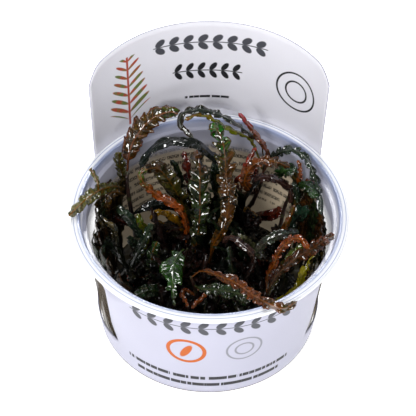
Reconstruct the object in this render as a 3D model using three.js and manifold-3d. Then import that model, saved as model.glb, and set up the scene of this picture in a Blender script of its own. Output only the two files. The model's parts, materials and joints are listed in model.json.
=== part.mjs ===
// A tissue culture cup of Hygrophila pinnatifida: a clear tapered cup without its lid, a card sleeve
// whose back stands up behind the rim, a bed of gel, and the plantlets that grow out of it.
// Millimetres, +Z up. The origin is the middle of the cup's base, and the printed front faces -Y.
import * as THREE from "three";
import { mergeVertices } from "three/addons/utils/BufferGeometryUtils.js";
import Module from "manifold-3d";

const wasm = await Module();
wasm.setup();

// Driving dimensions
const rimRadius = 50;
const cupHeight = 55;
const flangeThickness = 1.1;
const beadDrop = 1.6;
const beadWidth = 0.7;
const seatOuter = 46.6;
const seatFloorZ = 51.6;
const seatLedge = 1.5;
const baseRadius = 40;
const wallTopRadius = 45.2;
const wallThickness = 0.9;
const floorThickness = 1.2;
const footRound = 0.9;
const cupSegments = 40;
const gelSegments = 30;

const gap = 0.3;

const cardThickness = 0.5;
const cardBottomZ = 1.4;
const cardTopZ = 49.5;
const cardFrontRadius = [40.9, 46.3, 53];
const cardBackRadius = [41.3, 50.95, 54];
const headerTopRadius = 52.5;
const headerTopZ = 99;
const headerHalfAngle = 55.5;
const headerColumns = 12;
const frontColumns = 24;
const blendAngle = 20;

const gelBottomZ = floorThickness + gap;
const gelTopZ = 7.5;
const meniscus = 0.9;

const leafThickness = 0.35;
const petioleWidth = 0.5;
const stemSides = 6;

// The cut-outs of the sleeve: [degrees round from the front, height], clockwise from the top front
const windowOutline = [
  [60, 43.4], [118, 43.4], [118, 9], [70, 9], [52.8, 13], [56, 22], [56, 41.2], [57.3, 42.9],
];
const rightWindowTurn = 4;

// Stems: points from the gel to the top, and radius
const stems = {
  stem_1: { radius: 1.1, path: [[-26, 19, 4], [-27, 20, 16], [-28.5, 22, 28], [-30, 24, 42], [-30, 27, 47]] },
  stem_2: { radius: 1.3, path: [[-6, 13, 4], [-6, 14, 10], [-6, 15, 16]] },
  stem_3: { radius: 1.0, path: [[14, 32, 4], [15, 34, 15], [18, 32, 25], [21, 33, 36], [22, 35, 43]] },
  stem_4: { radius: 1.0, path: [[9, 30, 4], [12, 34, 15], [13, 33, 26], [13, 32, 32]] },
  stem_5: { radius: 0.9, path: [[25, 23, 4], [28, 25, 16], [30, 26, 30], [33, 23, 43]] },
  stem_6: { radius: 0.9, path: [[-11, -5, 4], [-11, -5, 16], [-9, -3, 30], [-8, -2, 37]] },
  stem_7: { radius: 1.4, path: [[-27, 1, 4], [-29, 3, 10], [-30, 5, 15]] },
  stem_8: { radius: 0.9, path: [[-5, -14, 4], [-5, -15, 16], [-5, -17, 30], [-7, -18, 40]] },
  stem_9: { radius: 1.0, path: [[0, 2, 4], [0, 3, 11], [0, 5, 18]] },
  stem_10: { radius: 0.9, path: [[24, 2, 4], [23, 1, 14], [23, 0, 27]] },
  stem_11: { radius: 0.9, path: [[22, -14, 4], [22, -15, 16], [21, -16, 28]] },
};

// Leaves: points from the petiole's foot on a stem to the tip, half width, lobes on each side, the
// turn of the blade about its midrib at foot and tip in degrees, the share of the blade at which it
// is widest, and tone
const leaves = {
  leaf_01: { tone: "bronze", width: 4.0, lobes: 6, turn: [0, 20], peak: 0.35,
    path: [[-30, 28, 46], [-29.5, 30, 51], [-28.5, 32, 55], [-25.5, 34.5, 60.5], [-20, 37.5, 65], [-14, 38.5, 67],
      [-11, 37, 67]] },
  leaf_02: { tone: "black", width: 1.7, lobes: 6, turn: [40, 30],
    path: [[22, 35, 42], [21, 36, 47], [20, 37, 52], [14, 36, 59.5], [6, 36, 66.5], [-3, 36, 70.5],
      [-9, 35, 69.5], [-10, 32, 66.5], [-5, 28, 63.5]] },
  leaf_03: { tone: "yellow", width: 1.1, lobes: 5, turn: [20, 0],
    path: [[21, 34, 40], [19, 37, 46], [17, 37, 52], [15, 37, 55], [7, 35, 62], [-2, 37, 67], [-9, 32, 69]] },
  leaf_04: { tone: "red", width: 1.2, lobes: 4,
    path: [[21, 33, 39], [23, 32, 47], [21, 32, 55], [17, 34, 61], [14, 34, 66], [11, 36, 69]] },
  leaf_05: { tone: "black", width: 2.1, lobes: 3, turn: [30, 0],
    path: [[13, 33, 25], [9.5, 33, 36], [7, 31, 46], [1.5, 30.5, 52], [-3.5, 31, 57], [-9.5, 31, 59],
      [-15.5, 32, 58], [-20.5, 32, 54], [-24, 30.5, 49], [-25, 29.5, 46]] },
  leaf_06: { tone: "olive", width: 3.4, lobes: 9, turn: [-20, 20],
    path: [[0, 5, 16], [0.5, 5, 20], [2, 6.5, 29], [5.5, 8, 37], [7.5, 13, 42], [7, 21, 46], [6.5, 26, 52],
      [5.5, 29.5, 59], [3.5, 32.5, 63], [0, 31.5, 65]] },
  leaf_07: { tone: "green", width: 4.4, lobes: 7,
    path: [[-6, 14, 13], [-5, 11, 18], [-4, 12, 26], [-3, 17, 34], [-3, 22, 42], [-3, 27, 49], [-4, 34, 52]] },
  leaf_08: { tone: "dark", width: 2.0, lobes: 1, peak: 0.65,
    path: [[12, 34, 14], [6, 32, 22], [4, 32, 30], [3, 34, 37], [4, 37, 43]] },
  leaf_09: { tone: "olive", width: 4.0, lobes: 5, turn: [20, -20],
    path: [[-6, 15, 14], [-6.5, 24, 16], [-7.5, 26.5, 23], [-11, 26, 35], [-15, 26.5, 44], [-19, 27, 49],
      [-23.5, 26, 49]] },
  leaf_10: { tone: "dark", width: 2.0, lobes: 4,
    path: [[-6, 14, 11], [-8, 24, 13], [-9, 32, 19], [-10, 35, 30], [-11, 36, 38], [-14, 37, 43]] },
  leaf_11: { tone: "red", width: 2.0, lobes: 5,
    path: [[-6, 15, 12], [-5, 24, 16], [-6, 31, 26], [-7, 34, 36], [-8, 36, 43], [-9, 39, 46]] },
  leaf_12: { tone: "orange", width: 1.8, lobes: 5, turn: [30, 0],
    path: [[-6, 15, 15], [-8, 16, 20], [-8, 17, 28], [-11, 19, 36], [-18, 20, 41], [-23, 20, 47],
      [-25, 21, 52], [-22, 23, 53]] },
  leaf_13: { tone: "yellow", width: 1.5, lobes: 4, turn: [20, 0],
    path: [[-6, 14, 8], [-9, 22, 13], [-9, 23, 18], [-12, 21.5, 26], [-17, 21, 31], [-20, 20, 31], [-22, 19, 29]] },
  leaf_14: { tone: "olive", width: 2.4, lobes: 5,
    path: [[-31, 23, 42], [-33, 19.5, 47], [-35.5, 15, 52], [-40, 7.5, 58], [-45.5, 1, 59], [-50.5, -4, 57]] },
  leaf_15: { tone: "bronze", width: 2.2, lobes: 3,
    path: [[-31, 23, 39], [-33, 19.5, 44], [-36, 16.5, 47], [-37.5, 13.5, 46], [-38, 11.5, 42]] },
  leaf_16: { tone: "yellow", width: 1.4, lobes: 3,
    path: [[-29, 5, 12], [-31, 3, 22], [-34, 3, 32], [-35, 5, 40], [-38, 6, 43], [-41, 7, 46]] },
  leaf_17: { tone: "dark", width: 2.5, lobes: 2,
    path: [[-28, 20, 18], [-25, 15, 22], [-25, 14, 26], [-28, 14, 33], [-31, 15, 37], [-34, 18, 38]] },
  leaf_18: { tone: "dark", width: 1.8, lobes: 3,
    path: [[-30, 5, 14], [-33, 8, 20], [-36, 8.5, 26], [-38.5, 6.5, 31], [-39.5, 2.5, 33.5], [-39.5, -2, 34]] },
  leaf_19: { tone: "green", width: 1.7, lobes: 1,
    path: [[-29, 5, 14], [-25, 9, 22], [-23, 12, 30], [-25, 11, 36], [-26, 13, 40]] },
  leaf_20: { tone: "green", width: 1.9, lobes: 4,
    path: [[-29, 5, 14], [-29, 4, 18], [-27, 4, 25], [-24, 5, 33], [-21, 7, 41]] },
  leaf_21: { tone: "green", width: 2.5, lobes: 3,
    path: [[-29, 5, 13], [-24, 2, 16], [-21, 2, 20], [-21, 3, 27], [-19, 4, 34]] },
  leaf_22: { tone: "green", width: 4.0, lobes: 4, peak: 0.4,
    path: [[-9, -3.5, 38], [-10.5, -6.5, 40], [-12.5, -11, 41], [-13.5, -17, 42], [-13.5, -24.5, 42],
      [-13, -31.5, 40]] },
  leaf_23: { tone: "orange", width: 2.3, lobes: 8, turn: [30, 0],
    path: [[-7, -18, 39], [-4, -19, 44], [0, -22, 47], [8, -29, 50], [14, -38, 54], [19, -45, 58],
      [24, -47, 58], [29, -43, 57]] },
  leaf_24: { tone: "green", width: 2.6, lobes: 5,
    path: [[-6, -17, 34], [-3, -22, 38], [3, -25, 41], [9, -29, 44], [14, -33, 45]] },
  leaf_25: { tone: "maroon", width: 2.4, lobes: 5,
    path: [[21, -16, 27], [22, -16, 32], [25, -14, 37], [31, -13, 44], [36, -14, 50], [40, -16, 57], [44, -14, 58]] },
  leaf_26: { tone: "dark", width: 2.2, lobes: 3,
    path: [[23, 0, 26], [20, -5, 35], [18, -7, 41], [21, -6, 46], [27, -5, 48], [33, -2, 45]] },
  leaf_27: { tone: "orange", width: 1.7, lobes: 6,
    path: [[21, -16, 26], [21, -13, 34], [23, -13, 40], [25, -12, 47], [29, -12, 53], [32, -14, 55], [35, -17, 53]] },
  leaf_28: { tone: "yellow", width: 1.8, lobes: 3,
    path: [[21, -16, 22], [28, -18, 28], [32, -17, 33], [34, -16, 40], [38, -12, 44]] },
  leaf_29: { tone: "yellow", width: 1.7, lobes: 3,
    path: [[21, -16, 24], [24, -12, 30], [27, -10, 36], [30, -8, 41], [34, -6, 43]] },
  leaf_30: { tone: "maroon", width: 2.2, lobes: 3,
    path: [[23, 1, 18], [20, -1, 22], [19, 0, 28], [20, 2, 34]] },
  leaf_31: { tone: "maroon", width: 1.6, lobes: 3, turn: [20, 0],
    path: [[23, 1, 14], [19, -4, 20], [17, -5, 28], [16, -4, 35], [12, -1, 38], [8, 2, 38], [5, 4, 33]] },
  leaf_32: { tone: "yellow", width: 1.4, lobes: 3,
    path: [[23, 1, 10], [20, 7, 12], [19, 9, 17], [17, 10, 24], [13, 9, 30], [8, 11, 30]] },
  leaf_33: { tone: "bronze", width: 2.2, lobes: 6,
    path: [[13, 33, 28], [16, 25, 38], [13.5, 21.5, 47], [15.5, 22, 54], [19.5, 22.5, 57], [25, 22, 57],
      [30.5, 24, 52]] },
  leaf_34: { tone: "maroon", width: 1.8, lobes: 4,
    path: [[13, 33, 26], [18, 28, 35], [18, 26, 42], [21, 24, 47], [26, 22, 47], [31, 23, 41], [31, 22, 34]] },
  leaf_35: { tone: "bronze", width: 2.6, lobes: 4,
    path: [[13, 32, 31], [14, 32, 36], [15.5, 31, 41], [19, 31, 44]] },
  leaf_36: { tone: "dark", width: 1.9, lobes: 6, peak: 0.35,
    path: [[22, 35, 41], [23.5, 32, 47], [26.5, 30.5, 53], [31, 28, 57], [35.5, 24.5, 57], [38.5, 18, 55],
      [40.5, 11.5, 51], [41, 6, 45]] },
  leaf_37: { tone: "orange", width: 0.9, lobes: 4,
    path: [[33, 23, 42], [36, 21, 46], [37, 20, 49], [39, 17, 50], [39, 15, 46]] },
  leaf_38: { tone: "green", width: 2.6, lobes: 3,
    path: [[33, 23, 42], [34, 24.5, 45], [32, 26.5, 47.5], [28.5, 28, 46], [26, 30, 40]] },
  leaf_39: { tone: "green", width: 1.8, lobes: 2,
    path: [[33, 23, 42], [35, 19, 48], [37, 14, 52], [39, 8, 53]] },
  leaf_40: { tone: "dark", width: 2.8, lobes: 3,
    path: [[28, 25, 18], [31, 18.5, 26], [34.5, 16, 35], [38.5, 13, 41]] },
  leaf_41: { tone: "bronze", width: 1.3, lobes: 3,
    path: [[27, 25, 13], [28, 13, 24], [28, 10, 31], [29, 10, 36], [31, 12, 40], [32, 15, 42]] },
  leaf_42: { tone: "maroon", width: 2.6, lobes: 1,
    path: [[15, 34, 12], [19, 33, 15], [25, 30, 19], [29, 28, 24]] },
  leaf_43: { tone: "black", width: 2.4, lobes: 2,
    path: [[-30, 22, 27], [-27, 22, 30], [-22.5, 23, 32], [-15.5, 26, 30], [-8, 31, 24]] },
  leaf_44: { tone: "dark", width: 2.8, lobes: 3,
    path: [[-11, -5, 14], [-16, -9, 20], [-22, -13, 26], [-27, -17, 28]] },
  leaf_45: { tone: "dark", width: 2.6, lobes: 3,
    path: [[-5, -15, 12], [1, -15, 19], [8, -17, 25], [14, -20, 27]] },
  leaf_46: { tone: "black", width: 2.8, lobes: 3,
    path: [[0, 3, 9], [5, -3, 16], [10, -8, 22], [13, -13, 24]] },
};

// Side leaves: small leaves of one piece with the stem or leaf that they grow on
const sideLeaves = [
  { on: "stem_1", width: 2.2, lobes: 3, path: [[-30, 24, 40], [-31.5, 26, 45], [-32.5, 26.5, 51], [-33, 27, 58]] },
  { on: "stem_1", width: 1.8, lobes: 1, path: [[-28, 20, 14], [-25, 14, 19], [-28, 12, 24], [-30, 12, 28]] },
  { on: "stem_1", width: 1.8, lobes: 2, path: [[-29, 21, 23], [-32, 19, 28], [-36, 18, 32], [-38, 16, 36]] },
  { on: "stem_2", width: 1.3, lobes: 2, path: [[-6, 13, 6], [-12, 21, 11], [-16, 24, 19], [-21, 24, 24]] },
  { on: "stem_4", width: 1.2, lobes: 5, path: [[13, 32, 30], [11, 28, 40], [13, 25, 47], [14, 26, 51], [18, 30, 57]] },
  { on: "stem_4", width: 1.3, lobes: 1, path: [[12, 34, 19], [16, 29, 23], [18, 27, 22], [20, 26, 20]] },
  { on: "stem_5", width: 1.0, lobes: 4, path: [[33, 24, 41], [34, 22, 49], [34, 24, 52], [33, 26, 54]] },
  { on: "stem_5", width: 1.4, lobes: 2, path: [[33, 24, 42], [32, 21, 46], [33, 20, 43], [34, 19, 38]] },
  { on: "stem_8", width: 1.0, lobes: 3, path: [[-5, -17, 28], [-9, -17, 31], [-10, -20, 32], [-8, -24, 30]] },
  { on: "stem_8", width: 0.9, lobes: 2, path: [[-5, -17, 31], [0, -18, 33], [-3, -23, 34], [-7, -26, 32]] },
  { on: "stem_11", width: 1.3, lobes: 3, path: [[22, -15, 12], [21, -9, 17], [22, -7, 24], [25, -5, 28]] },
  { on: "leaf_14", width: 1.2, lobes: 2, path: [[-40, 8, 58], [-40, 8, 61], [-41, 10, 63], [-43, 13, 64]] },
];

const tones = {
  green: 0x4f7a34,
  dark: 0x2f4435,
  olive: 0x6b6428,
  bronze: 0x7a4a2a,
  red: 0x8c2f2a,
  maroon: 0x4a2226,
  orange: 0xb0602c,
  yellow: 0x9a9434,
  black: 0x25302a,
};

const finishes = {
  plastic: new THREE.MeshStandardMaterial({ color: 0xe9eef6, roughness: 0.15, metalness: 0, transparent: true, opacity: 0.4 }),
  card: new THREE.MeshStandardMaterial({ color: 0xe9e8f1, roughness: 0.6, metalness: 0 }),
  gel: new THREE.MeshStandardMaterial({ color: 0xd8d6c4, roughness: 0.2, metalness: 0, transparent: true, opacity: 0.7 }),
  stem: new THREE.MeshStandardMaterial({ color: 0x4a2a22, roughness: 0.4, metalness: 0 }),
};

function leafFinish(tone) {
  return new THREE.MeshStandardMaterial({ color: tones[tone], roughness: 0.35, metalness: 0, side: THREE.DoubleSide });
}

// Geometry to solid and back
function toSolid(geometry) {
  const bare = geometry.clone();
  bare.deleteAttribute("normal");
  bare.deleteAttribute("uv");
  const merged = mergeVertices(bare, 1e-5);
  const vertProperties = new Float32Array(merged.attributes.position.array);
  const triVerts = new Uint32Array(merged.index.array);
  return new wasm.Manifold(new wasm.Mesh({ numProp: 3, vertProperties, triVerts }));
}

function toGeometry(solid) {
  const mesh = solid.getMesh();
  return indexedGeometry(Array.from(mesh.vertProperties), Array.from(mesh.triVerts));
}

function indexedGeometry(positions, index) {
  const geometry = new THREE.BufferGeometry();
  geometry.setAttribute("position", new THREE.Float32BufferAttribute(positions, 3));
  geometry.setIndex(index);
  geometry.computeVertexNormals();
  return geometry;
}

function largestPiece(solid) {
  return solid.decompose().reduce((best, piece) => (piece.volume() > best.volume() ? piece : best));
}

function radians(degrees) {
  return (degrees * Math.PI) / 180;
}

function smooth(edge0, edge1, value) {
  return THREE.MathUtils.smoothstep(value, edge0, edge1);
}

// Angle 0 is the front, -Y, and grows towards +X
function polar(angle, radius, z) {
  return [radius * Math.sin(radians(angle)), -radius * Math.cos(radians(angle)), z];
}

function curveThrough(path) {
  const points = path.map(([x, y, z]) => new THREE.Vector3(x, y, z));
  return new THREE.CatmullRomCurve3(points, false, "catmullrom", 0.5);
}

// Cup
function cupWallRadius(z) {
  return baseRadius + ((wallTopRadius - baseRadius) * z) / (seatFloorZ - flangeThickness);
}

function cupGeometry() {
  const shoulderZ = seatFloorZ - flangeThickness;
  const underFlangeZ = cupHeight - flangeThickness;
  const profile = [
    [0, 0],
    [baseRadius - footRound, 0],
    [cupWallRadius(footRound), footRound],
    [wallTopRadius, shoulderZ],
    [wallTopRadius + seatLedge, shoulderZ + 0.3],
    [seatOuter + 0.7, underFlangeZ],
    [rimRadius - beadWidth, underFlangeZ],
    [rimRadius - beadWidth, cupHeight - beadDrop],
    [rimRadius, cupHeight - beadDrop],
    [rimRadius, cupHeight - 0.4],
    [rimRadius - 0.4, cupHeight],
    [seatOuter, cupHeight],
    [seatOuter - 0.7, seatFloorZ + 0.2],
    [wallTopRadius - wallThickness, seatFloorZ],
    [cupWallRadius(floorThickness + footRound) - wallThickness, floorThickness + footRound],
    [baseRadius - wallThickness - footRound, floorThickness],
    [0, floorThickness],
  ];
  return new THREE.LatheGeometry(profile.map(([r, z]) => new THREE.Vector2(r, z)), cupSegments)
    .rotateX(Math.PI / 2);
}

// Card sleeve: a band round the cup whose back runs on upwards behind the rim
function cardRadius(angle, z) {
  const [frontBottom, frontTop, frontSpan] = cardFrontRadius;
  const [backBottom, backTop, backSpan] = cardBackRadius;
  const front = frontBottom + ((frontTop - frontBottom) * z) / frontSpan;
  const rise = Math.max(0, z - backSpan) / (headerTopZ - backSpan);
  const back = backBottom + ((backTop - backBottom) * Math.min(z, backSpan)) / backSpan
    + (headerTopRadius - backTop) * rise;
  const fromFront = Math.abs(angle > 180 ? angle - 360 : angle);
  const edge = 180 - headerHalfAngle;
  return THREE.MathUtils.lerp(front, back, smooth(edge - blendAngle, edge, fromFront));
}

// The top edge is nearly level, then drops into round corners at the two sides
function headerTop(fromBack) {
  const share = fromBack / headerHalfAngle;
  return headerTopZ - 5.5 * Math.pow(share, 3) - 5 * Math.pow(Math.max(0, (share - 0.86) / 0.14), 2);
}

function sleeveGrid() {
  const edge = 180 - headerHalfAngle;
  const angles = [];
  for (let i = 0; i < frontColumns; i++) {
    angles.push(-edge + (2 * edge * i) / frontColumns);
  }
  for (let i = 0; i < headerColumns; i++) {
    angles.push(edge + (2 * headerHalfAngle * i) / headerColumns);
  }
  const rowCount = 5;
  const heights = (angle) => {
    const fromBack = Math.min(headerHalfAngle, Math.abs(180 - (angle + 360) % 360));
    return [cardBottomZ, 26, cardTopZ, cardBackRadius[2], headerTop(fromBack)];
  };
  const hasCell = (column, row) => row >= 0 && row < rowCount - 1 && (row < 2 || column >= frontColumns);
  const positions = [];
  for (const angle of angles) {
    for (const z of heights(angle)) {
      const radius = cardRadius(angle, z);
      positions.push(...polar(angle, radius, z), ...polar(angle, radius - cardThickness, z));
    }
  }
  const count = angles.length;
  const vertex = (column, row, inner) => (((column + count) % count) * rowCount + row) * 2 + inner;
  const index = [];
  const quad = (a, b, c, d) => index.push(a, b, c, a, c, d);
  for (let column = 0; column < count; column++) {
    for (let row = 0; row < rowCount - 1; row++) {
      if (!hasCell(column, row)) continue;
      const next = column + 1;
      quad(vertex(column, row, 0), vertex(next, row, 0), vertex(next, row + 1, 0), vertex(column, row + 1, 0));
      quad(vertex(column, row, 1), vertex(column, row + 1, 1), vertex(next, row + 1, 1), vertex(next, row, 1));
      if (!hasCell(column, row - 1)) {
        quad(vertex(column, row, 0), vertex(column, row, 1), vertex(next, row, 1), vertex(next, row, 0));
      }
      if (!hasCell(column, row + 1)) {
        quad(vertex(column, row + 1, 0), vertex(next, row + 1, 0), vertex(next, row + 1, 1), vertex(column, row + 1, 1));
      }
      if (!hasCell((column + count - 1) % count, row)) {
        quad(vertex(column, row, 0), vertex(column, row + 1, 0), vertex(column, row + 1, 1), vertex(column, row, 1));
      }
      if (!hasCell(next % count, row)) {
        quad(vertex(next, row, 0), vertex(next, row, 1), vertex(next, row + 1, 1), vertex(next, row + 1, 0));
      }
    }
  }
  return indexedGeometry(positions, index);
}

// A prism whose sides run radially outwards from the cup's axis
function radialPrism(outline, innerRadius, outerRadius) {
  const contour = outline.map(([angle, z]) => new THREE.Vector2(angle, z));
  if (THREE.ShapeUtils.isClockWise(contour)) {
    contour.reverse();
  }
  const count = contour.length;
  const positions = [];
  for (const radius of [innerRadius, outerRadius]) {
    for (const point of contour) {
      positions.push(...polar(point.x, radius, point.y));
    }
  }
  const index = [];
  for (const [a, b, c] of THREE.ShapeUtils.triangulateShape(contour, [])) {
    index.push(c, b, a, a + count, b + count, c + count);
  }
  for (let i = 0; i < count; i++) {
    const next = (i + 1) % count;
    index.push(i, next, next + count, i, next + count, i + count);
  }
  return indexedGeometry(positions, index);
}

function sleeveSolid() {
  const right = windowOutline.map(([angle, z]) => [angle + (angle < 100 ? rightWindowTurn : 0), z]);
  const left = windowOutline.map(([angle, z]) => [-angle, z]);
  return [right, left].reduce(
    (solid, outline) => solid.subtract(toSolid(radialPrism(outline, 30, 75))),
    toSolid(sleeveGrid()),
  );
}

// Gel bed with a pocket round the foot of each stem
function gelSolid(stemRooms) {
  const bottomRadius = baseRadius - wallThickness - footRound - gap;
  const rimZ = gelTopZ + meniscus;
  const profile = [
    [0, gelBottomZ],
    [bottomRadius, gelBottomZ],
    [bottomRadius + footRound, gelBottomZ + footRound + 0.3],
    [cupWallRadius(rimZ) - wallThickness - gap, rimZ],
    [cupWallRadius(gelTopZ) - wallThickness - gap - 2, gelTopZ],
    [0, gelTopZ],
  ];
  const bed = toSolid(new THREE.LatheGeometry(profile.map(([r, z]) => new THREE.Vector2(r, z)), gelSegments)
    .rotateX(Math.PI / 2));
  return stemRooms.reduce((solid, room) => solid.subtract(room), bed);
}

// A closed skin over rings of equal count, with a cap or a point at each end
function skinRings(rings, closeTip) {
  const positions = rings.flat(2);
  const sides = rings[0].length;
  const index = [];
  for (let ring = 0; ring < rings.length - 1; ring++) {
    for (let side = 0; side < sides; side++) {
      const next = (side + 1) % sides;
      const a = ring * sides + side;
      const b = ring * sides + next;
      index.push(a, b, b + sides, a, b + sides, a + sides);
    }
  }
  const last = (rings.length - 1) * sides;
  for (let side = 1; side < sides - 1; side++) {
    index.push(0, side + 1, side);
  }
  if (closeTip) {
    positions.push(...closeTip);
    for (let side = 0; side < sides; side++) {
      index.push(last + side, last + ((side + 1) % sides), last + sides);
    }
  } else {
    for (let side = 1; side < sides - 1; side++) {
      index.push(last, last + side, last + side + 1);
    }
  }
  return indexedGeometry(positions, index);
}

function stemSolid({ path, radius }, room) {
  const curve = curveThrough(path);
  const steps = 2 * (path.length - 1) + 1;
  const start = curve.getTangentAt(0);
  const side = new THREE.Vector3(1, 0, 0);
  const rings = [];
  for (let i = 0; i <= steps; i++) {
    const share = i / steps;
    const tangent = curve.getTangentAt(share);
    const centre = curve.getPointAt(share);
    if (i === 0) centre.addScaledVector(start, -room);
    if (i === steps) centre.addScaledVector(tangent, room);
    const across = side.clone().addScaledVector(tangent, -side.dot(tangent)).normalize();
    const up = new THREE.Vector3().crossVectors(tangent, across);
    const ringRadius = radius * (1 - 0.35 * share) + room;
    const ring = [];
    for (let j = 0; j < stemSides; j++) {
      const angle = (2 * Math.PI * j) / stemSides;
      ring.push(centre.clone().addScaledVector(across, ringRadius * Math.cos(angle))
        .addScaledVector(up, ringRadius * Math.sin(angle)).toArray());
    }
    rings.push(ring);
  }
  return toSolid(skinRings(rings));
}

// A leaf rounds off at its tip, and its petiole is a narrow strip
const viewSide = new THREE.Vector3(0, -0.67, 0.74);
const petioleShare = 0.14;
const lobeDepth = 0.42;
const lobeSweep = 0.42;

function bladeWidth(share, width, peak) {
  if (share < petioleShare) {
    return petioleWidth;
  }
  const along = (share - petioleShare) / (1 - petioleShare);
  const rise = peak / (2 * (1 - peak));
  const shape = (at) => Math.pow(at, rise) * Math.sqrt(1 - at);
  return petioleWidth + (width - petioleWidth) * shape(along) / shape(peak);
}

function leafSolid({ path, width, lobes, turn = [0, 0], peak = 0.55 }, room) {
  const curve = curveThrough(path);
  const steps = 2 * lobes + 3;
  const rings = [];
  let side = null;
  for (let i = 0; i < steps; i++) {
    const share = i < 2 ? (i * petioleShare) / 1.5 : petioleShare + ((1 - petioleShare) * (i - 1.5)) / (steps - 1.5);
    const tangent = curve.getTangentAt(share);
    const across = new THREE.Vector3().crossVectors(viewSide, tangent).normalize();
    if (side && across.dot(side) < 0) {
      across.negate();
    }
    side = across.clone();
    across.applyAxisAngle(tangent, radians(THREE.MathUtils.lerp(turn[0], turn[1], share)));
    const normal = new THREE.Vector3().crossVectors(tangent, across);
    const notch = i > 1 && i % 2 === 1 ? lobeDepth : 0;
    const half = bladeWidth(share, width, peak) * (1 - notch) + room;
    const sweep = i > 1 && notch === 0 ? lobeSweep * (half - petioleWidth) : 0;
    const thick = leafThickness * (1 - 0.4 * share) + room;
    const centre = curve.getPointAt(share);
    if (i === 0) centre.addScaledVector(tangent, -room);
    const at = (x, z) => centre.clone().addScaledVector(across, x).addScaledVector(normal, z)
      .addScaledVector(tangent, x === 0 ? 0 : sweep).toArray();
    rings.push(room > 0
      ? [at(-half, -room), at(0, -thick), at(half, -room), at(half, room), at(0, thick), at(-half, room)]
      : [at(-half, 0), at(0, -thick), at(half, 0), at(0, thick)]);
  }
  const tip = curve.getPointAt(1).addScaledVector(curve.getTangentAt(1), 2 * room + 0.5).toArray();
  return toSolid(skinRings(rings, tip));
}

function buildPlant() {
  const solids = {};
  const rooms = {};
  const branchesOf = (name) => sideLeaves.filter((leaf) => leaf.on === name);
  const withBranches = (name, solid, room) => branchesOf(name)
    .reduce((joined, leaf) => joined.add(leafSolid(leaf, room)), solid);
  for (const [name, stem] of Object.entries(stems)) {
    solids[name] = withBranches(name, stemSolid(stem, 0), 0);
    rooms[name] = withBranches(name, stemSolid(stem, gap), gap);
  }
  for (const [name, leaf] of Object.entries(leaves)) {
    const whole = withBranches(name, leafSolid(leaf, 0), 0);
    solids[name] = largestPiece(Object.values(rooms).reduce((solid, room) => solid.subtract(room), whole));
    rooms[name] = withBranches(name, leafSolid(leaf, gap), gap);
  }
  return { solids, rooms };
}

function namedMesh(name, geometry, finish) {
  const mesh = new THREE.Mesh(geometry, finish);
  mesh.name = name;
  return mesh;
}

const plant = buildPlant();
const object = new THREE.Group();
object.add(namedMesh("cup", cupGeometry(), finishes.plastic));
object.add(namedMesh("sleeve", toGeometry(sleeveSolid()), finishes.card));
object.add(namedMesh("gel", toGeometry(gelSolid(Object.keys(stems).map((name) => plant.rooms[name]))), finishes.gel));
for (const [name, solid] of Object.entries(plant.solids)) {
  const finish = name in stems ? finishes.stem : leafFinish(leaves[name].tone);
  object.add(namedMesh(name, toGeometry(solid), finish));
}

export default object;
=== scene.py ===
# Hygrophila pinnatifida from tissue culture, in an open clear cup with a printed card sleeve
import json
import math

import bpy
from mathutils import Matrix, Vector


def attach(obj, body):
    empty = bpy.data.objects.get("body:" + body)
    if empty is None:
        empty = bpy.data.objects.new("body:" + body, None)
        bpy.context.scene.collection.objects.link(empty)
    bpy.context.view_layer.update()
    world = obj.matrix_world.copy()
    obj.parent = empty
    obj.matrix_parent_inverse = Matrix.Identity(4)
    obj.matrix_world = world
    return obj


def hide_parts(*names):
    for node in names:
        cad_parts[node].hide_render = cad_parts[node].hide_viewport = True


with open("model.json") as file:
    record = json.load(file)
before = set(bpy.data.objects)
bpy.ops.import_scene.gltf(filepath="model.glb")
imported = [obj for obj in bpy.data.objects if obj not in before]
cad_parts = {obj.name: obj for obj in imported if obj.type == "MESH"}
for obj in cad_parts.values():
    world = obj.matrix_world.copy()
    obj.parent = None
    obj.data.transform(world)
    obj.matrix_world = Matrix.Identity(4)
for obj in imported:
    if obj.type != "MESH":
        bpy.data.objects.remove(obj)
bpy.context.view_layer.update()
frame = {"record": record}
mm = 0.001
slotOf = {part["node"]: part["material_slot"] for part in frame["record"]["subparts"]}


# Nodes

class Value:
    # An output of a node: [] names another output of it, and arithmetic adds Math nodes
    def __init__(self, net, socket):
        self.net = net
        self.socket = socket

    def __getitem__(self, name):
        return Value(self.net, self.socket.node.outputs[name])

    def __neg__(self):
        return self * -1.0

    def __abs__(self):
        return self.net.work("ABSOLUTE", self)

    def smooth(self, low, high):
        return self.net.add("ShaderNodeMapRange", {"Value": self, "From Min": low, "From Max": high},
                            {"interpolation_type": "SMOOTHSTEP"})


def operator(name, operation):
    setattr(Value, "__%s__" % name, lambda self, other: self.net.work(operation, self, other))
    setattr(Value, "__r%s__" % name, lambda self, other: self.net.work(operation, other, self))


operator("add", "ADD")
operator("sub", "SUBTRACT")
operator("mul", "MULTIPLY")
operator("truediv", "DIVIDE")
operator("pow", "POWER")


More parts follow.
